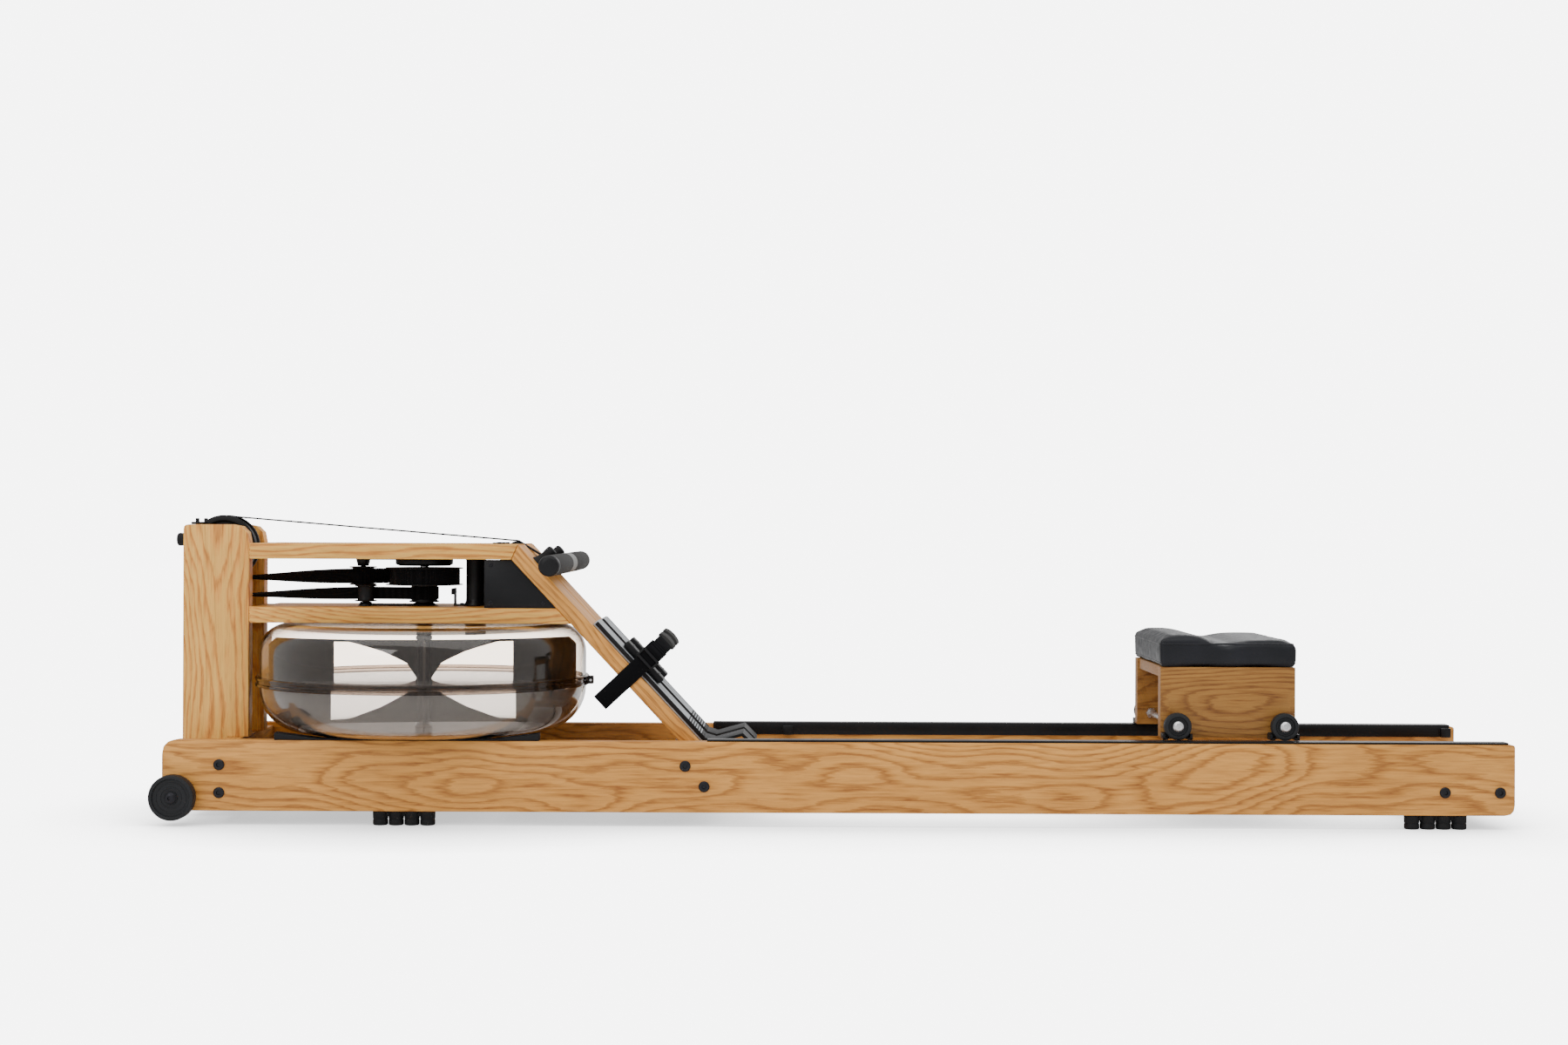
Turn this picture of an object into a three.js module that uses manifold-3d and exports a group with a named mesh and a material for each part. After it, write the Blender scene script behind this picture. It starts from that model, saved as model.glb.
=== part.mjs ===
// Water-resistance rowing machine with an oak frame, laid out for use.
// Millimetres. +X runs from the water tank to the rear of the slide, +Z is up,
// and the origin is under the middle of the machine, on the floor.
import * as THREE from 'three';
import { mergeVertices } from 'three/addons/utils/BufferGeometryUtils.js';
import Module from 'manifold-3d';

const wasm = await Module();
wasm.setup();

// Driving dimensions.

const fit = 0.3; // gap between pieces that touch
const running = 0.8; // gap around pieces that turn or slide

const railLength = 2084;
const railHeight = 109;
const railThickness = 25;
const frameWidth = 346; // over the outer faces of the rails
const footHeight = 22;
const footLength = 97;
const boardThickness = 25;
const boardWidth = 104;

const towerRise = 29.5; // posts above the upper deck
const postThickness = 26;
const postGap = 82;

const deckThickness = 24;
const deckWidth = 216;
const driveRoom = 56.5; // height between the decks beyond the two strap widths and one board
const tankToDeck = 3;
const slopeAngle = THREE.MathUtils.degToRad(47);
const slopeFootDepth = 48.55; // foot of the slope below the top of the rails
const footboardGap = 8;

const tankRadius = 261;
const tankHeight = 172;
const tankWall = 4;
const tankTopCorner = 47;
const tankBottomCorner = 70;
const ringWidth = 5;
const ringHeight = 15;
const ringShare = 0.468; // height of the ring as a share of the tank's
const padThickness = 3;
const waterDepth = 76;
const paddleSideGap = 15;
const paddleHeightGap = 36;
const paddleThickness = 3;
const shaftRadius = 6.5;

const frontPulleyRadius = 51;
const recoilPulleyRadius = 35;
const drumRadius = 59;
const strapWidth = 24;
const strapThickness = 2.2;
const recoilStrapWidth = 20;
const axleRadius = 5;
const cordRadius = 4; // recoil cord under the tank
const turnRadius = 16.7; // fixed sleeve that the cord turns on at the foot of the tower

const handleLength = 550;
const handleRadius = 16;
const pegHeight = 33;
const pegRadius = 9;

const seatLength = 222;
const seatInset = 66; // how much narrower the cushion is than the frame
const cushionThickness = 47.4;
const carriageHeight = 109.5;
const carriageLength = 210;
const carriageInset = 86;
const seatFromRear = 434.4; // middle of the seat at rest to the rear end of the rails
const seatWheelRadius = 21.5;
const seatWheelWidth = 16;
const seatWheelbase = 166;
const stripThickness = 3;
const stripDrop = 17;

const footPlateLength = 256;
const footPlateWidth = 82;
const footPlateThickness = 8;
const footStrapRise = 58;
const footStrapWidth = 28;

const wheelRadius = 35;
const wheelWidth = 20;
const wheelInset = 19; // wheel centre behind the front end of the rails
const wheelRise = 21.6; // wheel centre above the underside of the rails

// Places worked out from them.

const overallLength = railLength + wheelRadius - wheelInset;
const railRear = overallLength / 2;
const railFront = railRear - railLength;
const railBottom = footHeight;
const railTop = railBottom + railHeight;
const railOuter = frameWidth / 2;
const railInner = railOuter - railThickness;
const innerGap = railInner - fit;

const transportX = railFront + wheelInset;
const wheelCentreZ = railBottom + wheelRise;
const postFront = railFront + 4;
const postRear = postFront + boardWidth;
const postInner = postGap / 2;
const postOuter = postInner + postThickness;

const tankX = postRear + tankRadius + ringWidth + 2;
const tankBottom = railTop + padThickness;
const tankTop = tankBottom + tankHeight;
const ringMid = tankBottom + tankHeight * ringShare;
const paddleRadius = tankRadius - paddleSideGap;
const paddleHeight = tankHeight - paddleHeightGap;

const lowerDeckBottom = tankTop + tankToDeck;
const lowerDeckTop = lowerDeckBottom + deckThickness;
const upperDeckTop = lowerDeckTop + strapWidth + recoilStrapWidth + driveRoom;
const upperDeckBottom = upperDeckTop - deckThickness;
const towerHeight = upperDeckTop + towerRise;
const deckHalf = deckWidth / 2;
const drumToSlope = 163; // least distance from the drum's axis to the top of the slope
const slopeTopX = tankX + Math.max(tankRadius - 98, drumToSlope);
const slopeTopZ = upperDeckTop;
const slopeLength = (slopeTopZ - railTop + slopeFootDepth) / Math.sin(slopeAngle);
const halfPi = Math.PI / 2;

// The straps ride in grooves 3 mm deep; the recoil strap drops to a cord at the tower's foot.
const strapLift = fit + strapThickness / 2;
const frontPulleyX = postFront + boardWidth / 2;
const recoilWrap = recoilPulleyRadius - 3 + strapLift;
const cordWrap = turnRadius + running + cordRadius;
const dropX = frontPulleyX - recoilWrap;
const turnX = dropX + cordWrap;
const turnZ = railTop - 34;
const cordZ = turnZ - cordWrap;

// A point at a distance down the footboard's face and a height above it.
function onSlope(along, above) {
  return [
    slopeTopX + along * Math.cos(slopeAngle) + above * Math.sin(slopeAngle),
    slopeTopZ - along * Math.sin(slopeAngle) + above * Math.cos(slopeAngle),
  ];
}

// Materials.

const look = (color, roughness, metalness = 0, extra = {}) =>
  new THREE.MeshStandardMaterial({ color, roughness, metalness, ...extra });
const oak = look('#d3a164', 0.5);
const blackPlastic = look('#16171a', 0.45);
const blackRubber = look('#1b1b1d', 0.8);
const greyPlastic = look('#9a9ea3', 0.5);
const darkPlastic = look('#2b2a2b', 0.5);
const clearPlastic = look('#d9cfc2', 0.08, 0, { transparent: true, opacity: 0.35 });
const waterLook = look('#a9b6bf', 0.05, 0, { transparent: true, opacity: 0.4 });
const leather = look('#1d1f25', 0.5);
const webbing = look('#0f1011', 0.9);
const foam = look('#4b4a49', 0.9);
const steel = look('#a8a9ab', 0.3, 1);
const blackSteel = look('#1d1d1f', 0.4, 0.8);

// Geometry helpers.

const rower = new THREE.Group();

function addPiece(name, geometry, material) {
  const mesh = new THREE.Mesh(geometry, material);
  mesh.name = name;
  rower.add(mesh);
  return mesh;
}

function toSolid(geometry) {
  const bare = geometry.clone();
  bare.deleteAttribute('normal');
  bare.deleteAttribute('uv');
  const merged = mergeVertices(bare, 1e-4);
  return new wasm.Manifold(new wasm.Mesh({
    numProp: 3,
    vertProperties: new Float32Array(merged.attributes.position.array),
    triVerts: new Uint32Array(merged.index.array),
  }));
}

function toGeometry(solid) {
  const mesh = solid.getMesh();
  const geometry = new THREE.BufferGeometry();
  geometry.setAttribute('position', new THREE.BufferAttribute(mesh.vertProperties, 3));
  geometry.setIndex(new THREE.BufferAttribute(mesh.triVerts, 1));
  geometry.computeVertexNormals();
  return geometry;
}

function join(...geometries) {
  const [first, ...rest] = geometries.map(toSolid);
  return toGeometry(rest.reduce((whole, next) => whole.add(next), first));
}

function cut(geometry, ...tools) {
  return toGeometry(tools.map(toSolid).reduce((left, tool) => left.subtract(tool), toSolid(geometry)));
}

// A block between two corners.
function block(xRange, yRange, zRange) {
  const [x, y, z] = [xRange, yRange, zRange].map(([low, high]) => [high - low, (high + low) / 2]);
  return new THREE.BoxGeometry(x[0], y[0], z[0]).translate(x[1], y[1], z[1]);
}

// An outline of [x, z] points, each with an optional corner radius, thick along Y.
function plateXZ(points, yRange) {
  const shape = roundedShape(points);
  const depth = yRange[1] - yRange[0];
  const geometry = new THREE.ExtrudeGeometry(shape, { depth, bevelEnabled: false, curveSegments: 3 });
  return geometry.rotateX(halfPi).translate(0, yRange[1], 0);
}

// An outline of [x, y] points, each with an optional corner radius, thick along Z.
function plateXY(points, zRange) {
  const shape = roundedShape(points);
  const depth = zRange[1] - zRange[0];
  const geometry = new THREE.ExtrudeGeometry(shape, { depth, bevelEnabled: false, curveSegments: 3 });
  return geometry.translate(0, 0, zRange[0]);
}

// An outline of [y, z] points, each with an optional corner radius, thick along X.
function plateYZ(points, xRange) {
  const shape = roundedShape(points);
  const depth = xRange[1] - xRange[0];
  const geometry = new THREE.ExtrudeGeometry(shape, { depth, bevelEnabled: false, curveSegments: 3 });
  return geometry.rotateX(halfPi).rotateZ(halfPi).translate(xRange[0], 0, 0);
}

function roundedShape(points) {
  const shape = new THREE.Shape();
  points.forEach(([x, y, radius = 0], index) => {
    const here = new THREE.Vector2(x, y);
    const towards = (offset) => {
      const [nextX, nextY] = points[(index + offset + points.length) % points.length];
      return new THREE.Vector2(nextX, nextY).sub(here).setLength(radius).add(here);
    };
    const [start, end] = radius ? [towards(-1), towards(1)] : [here, here];
    if (index === 0) shape.moveTo(start.x, start.y);
    else shape.lineTo(start.x, start.y);
    if (radius) shape.quadraticCurveTo(x, y, end.x, end.y);
  });
  return shape;
}

// A solid of revolution from [radius, height] points, bottom to top along the outside,
// that start and end on the axis.
function turned(profile, axis, centre, segments = 24) {
  const points = profile.map(([radius, height]) => new THREE.Vector2(radius, height));
  const geometry = new THREE.LatheGeometry(points, segments);
  if (axis === 'z') geometry.rotateX(halfPi);
  if (axis === 'x') geometry.rotateZ(-halfPi);
  return geometry.translate(...centre);
}

// A round bar along an axis between two places on it.
function bar(radius, axis, range, centre, segments = 12) {
  const [low, high] = range;
  return turned([[0, low], [radius, low], [radius, high], [0, high]], axis, centre, segments);
}

// A closed ring profile: no point on the axis, first point repeated at the end.
function ring(profile, axis, centre, segments = 24) {
  return turned([...profile, profile[0]], axis, centre, segments);
}

// Turns a shape drawn flat at the origin so that it lies on the footboard.
function layOnSlope(geometry, along, above) {
  const [x, z] = onSlope(along, above);
  return geometry.rotateY(slopeAngle).translate(x, 0, z);
}

const sides = [['left', -1], ['right', 1]];
const span = (a, b) => [Math.min(a, b), Math.max(a, b)];

// A tool that bores one side of the machine for an axle.
function axleHole(x, z, sign) {
  return bar(axleRadius + fit, 'y', span(0, sign * frameWidth), [x, 0, z], 10);
}

// Main frame.

const frontBoardX = postRear - 20;
const middleBoardAlong = slopeLength - 28;
const middleBoardTop = -(deckThickness + fit);
const rearBoardX = railRear - 13.4 - boardWidth / 2;
const rearBoardMid = railBottom + 35.5;

for (const [side, sign] of sides) {
  const railOutline = [
    [railFront, railBottom, 6], [railRear, railBottom, 16], [railRear, railTop, 4], [railFront, railTop, 22],
  ];
  const yRange = span(sign * railInner, sign * railOuter);
  const rail = plateXZ(railOutline, yRange);
  addPiece(`rail_${side}`, cut(rail, axleHole(transportX, wheelCentreZ, sign)), oak);
}

// The cross boards run between the rails.
const fullWidth = [-innerGap, innerGap];
const frontBoardTop = railTop - 5;
const frontBoardX0 = frontBoardX - boardThickness / 2;
const cordHole = bar(cordRadius + 2, 'x', [postFront, tankX], [0, 0, cordZ], 12);
addPiece('front_cross_board', cut(
  block([frontBoardX0, frontBoardX0 + boardThickness], fullWidth, [railBottom + 2, frontBoardTop]),
  cordHole), oak);
addPiece('middle_cross_board', layOnSlope(
  block([-boardWidth / 2, boardWidth / 2], fullWidth, [-boardThickness, 0]),
  middleBoardAlong, middleBoardTop), oak);
addPiece('rear_cross_board', block(
  [rearBoardX - boardWidth / 2, rearBoardX + boardWidth / 2], fullWidth,
  [rearBoardMid - boardThickness / 2, rearBoardMid + boardThickness / 2]), oak);

// Rubber feet under the rails, with a row of round lobes.
function railFoot(centreX, sign) {
  const middle = (railInner + railOuter) / 2;
  const lobes = 4;
  const lobeRadius = boardThickness / 2 - 0.5;
  const pitch = (footLength - 2 * lobeRadius) / (lobes - 1);
  const posts = Array.from({ length: lobes }, (_, index) =>
    bar(lobeRadius, 'z', [0, footHeight - fit],
      [centreX - footLength / 2 + lobeRadius + index * pitch, sign * middle, 0], 8));
  const half = footLength / 2 - lobeRadius;
  const web = block([centreX - half, centreX + half],
    span(sign * (middle - 6), sign * (middle + 6)), [footHeight - 8, footHeight - fit]);
  return join(web, ...posts);
}
const frontFootX = railFront + 371.5;
const rearFootX = railRear - 119.5;
for (const [side, sign] of sides) {
  addPiece(`foot_front_${side}`, railFoot(frontFootX, sign), blackRubber);
  addPiece(`foot_rear_${side}`, railFoot(rearFootX, sign), blackRubber);
}

// Slide strips.

const stripFront = onSlope(middleBoardAlong, 0)[0] - 8;
const stripRear = railRear - 9;
const stripTop = railTop + fit + stripThickness;
const stopLength = 16;
const frontStopX = stripFront + 117;
const rearStopX = stripRear - stopLength;
for (const [side, sign] of sides) {
  const flangeOuter = innerGap;
  const flangeInner = flangeOuter - stripThickness;
  const top = block([stripFront, stripRear], span(sign * flangeInner, sign * (railOuter - 4)),
    [railTop + fit, stripTop]);
  const flange = block([stripFront, stripRear], span(sign * flangeInner, sign * flangeOuter),
    [railTop - stripDrop, stripTop]);
  const stops = [frontStopX, rearStopX].map((x) =>
    block([x, x + stopLength], span(sign * (flangeInner - 9), sign * flangeOuter),
      [railTop - stripDrop, railTop - 2]));
  addPiece(`slide_strip_${side}`, join(top, flange, ...stops), blackPlastic);
}

// Tower and decks.

const frontPulleyZ = towerHeight - 36;
const recoilPulleyZ = lowerDeckTop - 17;
const postBottom = railBottom + 8;
const throughPlaces = [[turnX, turnZ], [transportX, wheelCentreZ]];
const pulleyPlaces = [[frontPulleyX, frontPulleyZ], [frontPulleyX, recoilPulleyZ]];
const journalReach = postOuter - 5;
for (const [side, sign] of sides) {
  const outline = [
    [postFront, postBottom, 4], [frontBoardX0 - fit, postBottom], [frontBoardX0 - fit, frontBoardTop + fit],
    [postRear, frontBoardTop + fit], [postRear, towerHeight, 28], [postFront, towerHeight, 8],
  ];
  const post = plateXZ(outline, span(sign * postInner, sign * postOuter));
  const holes = throughPlaces.map(([x, z]) => axleHole(x, z, sign));
  const blindHoles = pulleyPlaces.map(([x, z]) =>
    bar(axleRadius + fit, 'y', span(0, sign * (journalReach + fit)), [x, 0, z], 10));
  addPiece(`tower_post_${side}`, cut(post, ...holes, ...blindHoles), oak);
}

// A fixed bar between the posts' feet, on which the recoil cord turns rearwards.
addPiece('cord_guide', join(
  bar(axleRadius, 'y', [-postOuter - 2, postOuter + 2], [turnX, 0, turnZ]),
  bar(turnRadius, 'y', [-postInner + fit, postInner - fit], [turnX, 0, turnZ], 14)), steel);

// The upper deck and the footboard meet on a mitre; the lower deck butts against the footboard.
const mitreX = (above) => slopeTopX - (slopeTopZ - above) * Math.tan(slopeAngle / 2);
const underSlope = (z) => {
  const [x0, z0] = onSlope(0, -deckThickness - fit);
  return x0 + (z0 - z) / Math.tan(slopeAngle);
};
const deckFront = postRear + 11;
function deckOutline(tongueFront, rearX) {
  return [
    [deckFront, -deckHalf, 3], [rearX, -deckHalf], [rearX, deckHalf], [deckFront, deckHalf, 3],
    [deckFront, postOuter], [tongueFront, postOuter], [tongueFront, -postOuter], [deckFront, -postOuter],
  ];
}
function deckBoard(zRange, rearProfile) {
  const rearX = Math.max(...rearProfile.map(([x]) => x));
  const board = plateXY(deckOutline(postRear + fit, rearX), zRange);
  const keep = plateXZ(rearProfile, [-deckHalf - 1, deckHalf + 1]);
  return toGeometry(toSolid(board).intersect(toSolid(keep)));
}
const far = postRear - 10;
const upperDeck = deckBoard([upperDeckBottom, upperDeckTop], [
  [far, upperDeckBottom - 1], [mitreX(upperDeckBottom) - fit, upperDeckBottom - 1],
  [mitreX(upperDeckBottom) - fit, upperDeckBottom], [slopeTopX - fit, upperDeckTop],
  [slopeTopX - fit, upperDeckTop + 1], [far, upperDeckTop + 1],
]);
const lowerDeck = deckBoard([lowerDeckBottom, lowerDeckTop], [
  [far, lowerDeckBottom - 1], [underSlope(lowerDeckBottom - 1), lowerDeckBottom - 1],
  [underSlope(lowerDeckTop + 1), lowerDeckTop + 1], [far, lowerDeckTop + 1],
]);

// The footboard is two boards side by side with a slot between them.
const slotHalf = footboardGap / 2;
const bottomMitre = onSlope(deckThickness * Math.tan(slopeAngle / 2), -deckThickness);
const foot = [onSlope(slopeLength, 0), onSlope(slopeLength, -deckThickness)];
const rollerX = slopeTopX - 15;
const rollerRadius = 8;
const rollerZ = upperDeckTop + 4 - rollerRadius;
const rollerHalf = strapWidth / 2 + 3;
const notchHalf = rollerHalf + running;
const notchFront = rollerX - 13;
const notchFloor = rollerZ - rollerRadius - 5;
const rollerPin = 3;
const pinReach = notchHalf + 12;
const rollerPlace = [rollerX, 0, rollerZ];
const pinHole = bar(rollerPin + fit, 'y', [-pinReach - 1, pinReach + 1], rollerPlace, 12);
const rollerNotch = block(
  [notchFront, slopeTopX + 16], [-notchHalf, notchHalf], [notchFloor, upperDeckTop + 5]);
for (const [side, sign] of sides) {
  const board = plateXZ([[slopeTopX, slopeTopZ], foot[0], foot[1], bottomMitre],
    span(sign * slotHalf, sign * deckHalf));
  addPiece(`footboard_${side}`, cut(board, rollerNotch), oak);
}
addPiece('upper_deck', cut(upperDeck, rollerNotch, pinHole), oak);
const shaftHole = bar(shaftRadius + 3, 'z', [lowerDeckBottom - 5, lowerDeckTop + 5], [tankX, 0, 0], 20);
addPiece('lower_deck', cut(lowerDeck, shaftHole), oak);

// Water tank.

const tankCentre = [tankX, 0, 0];
const round = 24; // facets of the tank, which match every 15 degrees

// Points on a quarter circle, from one angle to another.
function arc(centreR, centreZ, radius, from, to, steps = 3) {
  return Array.from({ length: steps + 1 }, (_, index) => {
    const angle = from + (to - from) * index / steps;
    return [centreR + radius * Math.cos(angle), centreZ + radius * Math.sin(angle)];
  });
}

const rimGap = 1.5;
const inside = tankRadius - tankWall;
const bottomArc = (radius) =>
  arc(tankRadius - tankBottomCorner, tankBottom + tankBottomCorner, radius, -halfPi, 0);
const topArc = (radius) => arc(tankRadius - tankTopCorner, tankTop - tankTopCorner, radius, 0, halfPi);
const pivotTop = tankBottom + tankWall + 8;
const lowerBowl = turned([
  [0, tankBottom], ...bottomArc(tankBottomCorner), [tankRadius, ringMid - rimGap], [inside, ringMid - rimGap],
  ...bottomArc(tankBottomCorner - tankWall).reverse(), [12, tankBottom + tankWall], [10, pivotTop],
  [0, pivotTop],
], 'z', tankCentre, round);
const neck = shaftRadius + running;
const upperBowl = ring([
  [tankRadius, ringMid + rimGap], ...topArc(tankTopCorner), [neck, tankTop], [neck, tankTop - tankWall],
  ...topArc(tankTopCorner - tankWall).reverse(), [inside, ringMid + rimGap],
], 'z', tankCentre, round);
const plugX = tankX + 83;
const plugRadius = 17;
const plugHole = bar(plugRadius + fit, 'z', [tankTop - 20, tankTop + 5], [plugX, 0, 0], 12);
addPiece('tank_lower_bowl', lowerBowl, clearPlastic);
addPiece('tank_upper_bowl', cut(upperBowl, plugHole), clearPlastic);
addPiece('tank_plug', bar(plugRadius, 'z', [tankTop - 9, tankTop + 1], [plugX, 0, 0], 12), blackRubber);

const ringInner = tankRadius + fit;
const ringOuter = tankRadius + ringWidth;
const tongue = rimGap - fit;
addPiece('tank_ring', ring([
  [ringInner, ringMid - ringHeight / 2], [ringOuter, ringMid - ringHeight / 2],
  [ringOuter, ringMid + ringHeight / 2], [ringInner, ringMid + ringHeight / 2],
  [ringInner, ringMid + tongue], [inside + 1, ringMid + tongue], [inside + 1, ringMid - tongue],
  [ringInner, ringMid - tongue],
], 'z', tankCentre, round), darkPlastic);

// Pads on the rails carry the tank and wedge up under its curved edge.
const padReach = tankRadius - 57;
const padRise = 9;
for (const [side, sign] of sides) {
  const top = tankBottom - fit;
  const outline = [
    [tankX - padReach, railTop + fit], [tankX + padReach, railTop + fit], [tankX + padReach, top + padRise],
    [tankX + padReach - 70, top], [tankX - padReach + 70, top], [tankX - padReach, top + padRise],
  ];
  addPiece(`tank_pad_${side}`, plateXZ(outline, span(sign * railInner, sign * (railOuter - 2))), blackRubber);
}

// Two crossed plates on the shaft, each with a D-shaped window on either side of a waisted middle.
const paddleBottom = tankBottom + 14;
const paddleTop = paddleBottom + paddleHeight;
const windowOuter = paddleRadius - 103;
const windowEdge = 5;
function paddleWindow(sign) {
  const low = paddleBottom + windowEdge;
  const high = paddleTop - windowEdge;
  const middle = (low + high) / 2;
  const curve = arc(0, 0, 1, -halfPi, halfPi, 8).map(([, height]) => {
    const waist = shaftRadius + 5 + (windowOuter - 35) * height * height;
    return [sign * waist, middle + height * (high - low) / 2];
  });
  const points = [...curve, [sign * windowOuter, high], [sign * windowOuter, low]];
  return plateXZ(points, [-50, 50]);
}
const shaftTop = upperDeckBottom - 4;
const cornerCut = paddleRadius - 34;
const bladeOutline = [
  [-cornerCut, paddleBottom], [cornerCut, paddleBottom], [paddleRadius, paddleBottom + 26],
  [paddleRadius, paddleTop - 12], [paddleRadius - 12, paddleTop], [12 - paddleRadius, paddleTop],
  [-paddleRadius, paddleTop - 12], [-paddleRadius, paddleBottom + 26],
];
const bladePlate = cut(plateXZ(bladeOutline, [-paddleThickness / 2, paddleThickness / 2]),
  paddleWindow(1), paddleWindow(-1));
const crossPlate = bladePlate.clone().rotateZ(halfPi);
const shaft = bar(shaftRadius, 'z', [pivotTop + fit, shaftTop], [0, 0, 0]);
const paddle = join(bladePlate, crossPlate, shaft);
const paddleTurn = THREE.MathUtils.degToRad(9); // where the paddle happens to rest
addPiece('paddle', paddle.rotateZ(paddleTurn).translate(...tankCentre), darkPlastic);

// The water fills the lower bowl around the paddle and turns with it.
const waterGap = 2.5;
const waterTop = tankBottom + tankWall + waterDepth;
const waterRadius = inside - waterGap;
const waterCorner = tankBottomCorner - tankWall - waterGap;
const waterBlock = turned([
  [0, tankBottom + tankWall + waterGap], ...arc(waterRadius - waterCorner,
    tankBottom + tankWall + waterGap + waterCorner, waterCorner, -halfPi, 0),
  [waterRadius, waterTop], [0, waterTop],
], 'z', tankCentre, round);
const loose = paddleThickness / 2 + fit;
const reach = paddleRadius + fit;
const swept = [block([-reach, reach], [-loose, loose], [paddleBottom - fit, waterTop + 5]),
  block([-loose, loose], [-reach, reach], [paddleBottom - fit, waterTop + 5]),
  bar(14, 'z', [tankBottom, waterTop + 5], [0, 0, 0])];
const placed = swept.map((tool) => tool.rotateZ(paddleTurn).translate(...tankCentre));
const waterSolid = cut(waterBlock, ...placed);
addPiece('tank_water', waterSolid, waterLook);

// Drive.

const bearingBottom = upperDeckBottom - 12;
const drumTop = bearingBottom - 2.5;
const drumBottom = drumTop - strapWidth - 5;
const recoilBottom = drumBottom - recoilStrapWidth - 7;
const bossTop = recoilBottom - running;
const upperHousing = ring([
  [shaftRadius + running, bearingBottom], [46, bearingBottom], [46, upperDeckBottom - fit],
  [shaftRadius + running, upperDeckBottom - fit],
], 'z', tankCentre, 16);
const lowerHousing = ring([
  [shaftRadius + running, lowerDeckTop + fit], [22, lowerDeckTop + fit], [15, bossTop],
  [shaftRadius + running, bossTop],
], 'z', tankCentre, 16);

// The strap drum has a groove between flanges, and the narrow recoil drum is below it.
const drumGroove = drumRadius - strapThickness * 2;
const recoilCore = 21;
const flange = 2.2;
const drumMiddle = (drumTop + drumBottom) / 2;
const recoilMiddle = (recoilBottom + flange + drumBottom) / 2;
const grooveHalfHeight = strapWidth / 2 + running / 2;
addPiece('strap_drum', ring([
  [shaftRadius + running, recoilBottom], [recoilCore + 3, recoilBottom],
  [recoilCore + 3, recoilBottom + flange], [recoilCore, recoilBottom + flange],
  [recoilCore, drumBottom], [drumRadius + 3, drumBottom],
  [drumRadius + 3, drumMiddle - grooveHalfHeight], [drumGroove, drumMiddle - grooveHalfHeight],
  [drumGroove, drumMiddle + grooveHalfHeight], [drumRadius + 3, drumMiddle + grooveHalfHeight],
  [drumRadius + 3, drumTop], [shaftRadius + running, drumTop],
], 'z', tankCentre, 20), blackPlastic);

// Guide rollers turn the two straps between the tower and the drums.
const spindleRadius = 4;
const upperGuide = [tankX - 104, 28, 0];
const lowerGuide = [tankX - 90, -24, 0];
const upperCore = 18;
const lowerCore = 13.5;
function guideRoller(middle, width, core, place) {
  const half = width / 2 + running;
  const bore = spindleRadius + running;
  return ring([
    [bore, middle - half - flange], [core + 4.6, middle - half - flange], [core + 4.6, middle - half],
    [core, middle - half], [core, middle + half], [core + 4.6, middle + half],
    [core + 4.6, middle + half + flange], [bore, middle + half + flange],
  ], 'z', place, 14);
}
const guideReach = (width) => width / 2 + running + flange;
const upperRoller = guideRoller(drumMiddle, strapWidth, upperCore, upperGuide);
const lowerRoller = guideRoller(recoilMiddle, recoilStrapWidth, lowerCore, lowerGuide);
addPiece('upper_guide_roller', upperRoller, blackPlastic);
addPiece('lower_guide_roller', lowerRoller, blackPlastic);
const upperEnd = drumMiddle + guideReach(strapWidth) + running;
const upperSpindle = turned([
  [0, drumMiddle - guideReach(strapWidth) - 1], [spindleRadius, drumMiddle - guideReach(strapWidth) - 1],
  [spindleRadius, upperEnd], [9, upperEnd], [12, upperDeckBottom - fit], [0, upperDeckBottom - fit],
], 'z', upperGuide, 10);
const lowerEnd = recoilMiddle - guideReach(recoilStrapWidth) - running;
const lowerSpindle = turned([
  [0, lowerDeckTop + fit], [12, lowerDeckTop + fit], [9, lowerEnd], [spindleRadius, lowerEnd],
  [spindleRadius, recoilMiddle + guideReach(recoilStrapWidth) + 1],
  [0, recoilMiddle + guideReach(recoilStrapWidth) + 1],
], 'z', lowerGuide, 10);

// Each bearing is one casting with the guide roller's spindle, joined by a flat arm on the deck.
const armWidth = 16;
const armThickness = 3;
function guideArm([x, y], low) {
  const reachX = [x, tankX - 18];
  return block(reachX, [y - armWidth / 2, y + armWidth / 2], [low, low + armThickness]);
}
const upperArm = guideArm(upperGuide, upperDeckBottom - fit - armThickness);
const lowerArm = guideArm([lowerGuide[0], lowerGuide[1] + 10], lowerDeckTop + fit);
addPiece('upper_bearing', join(upperHousing, upperSpindle, upperArm), blackPlastic);
addPiece('lower_bearing', join(lowerHousing, lowerSpindle, lowerArm), blackPlastic);

const columnX = tankX + 83;
addPiece('deck_column', turned([
  [0, lowerDeckTop + fit], [19, lowerDeckTop + fit], [15.5, lowerDeckTop + 8], [15.5, upperDeckBottom - fit],
  [0, upperDeckBottom - fit],
], 'z', [columnX, 0, 0], 12), blackPlastic);

// A folded cover closes the rear of the drive under the slope.
const shroudFront = columnX + 27;
const shroudHalf = deckHalf - 4;
const shroudLow = lowerDeckTop + fit;
const shroudHigh = upperDeckBottom - fit;
const shroudWall = 2;
const shroudOutline = (inset, low, high) => [
  [shroudFront, low], [underSlope(low) - fit - inset, low], [underSlope(high) - fit - inset, high],
  [shroudFront, high],
];
const shroudBody = plateXZ(shroudOutline(0, shroudLow, shroudHigh), [-shroudHalf, shroudHalf]);
const shroudSpace = plateXZ(shroudOutline(shroudWall, shroudLow + shroudWall, shroudHigh + 5)
  .map(([x, z], index) => [index === 0 || index === 3 ? x - 5 : x, z]),
  [-shroudHalf + shroudWall, shroudHalf - shroudWall]);
addPiece('drive_cover', cut(shroudBody, shroudSpace), blackPlastic);

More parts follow.
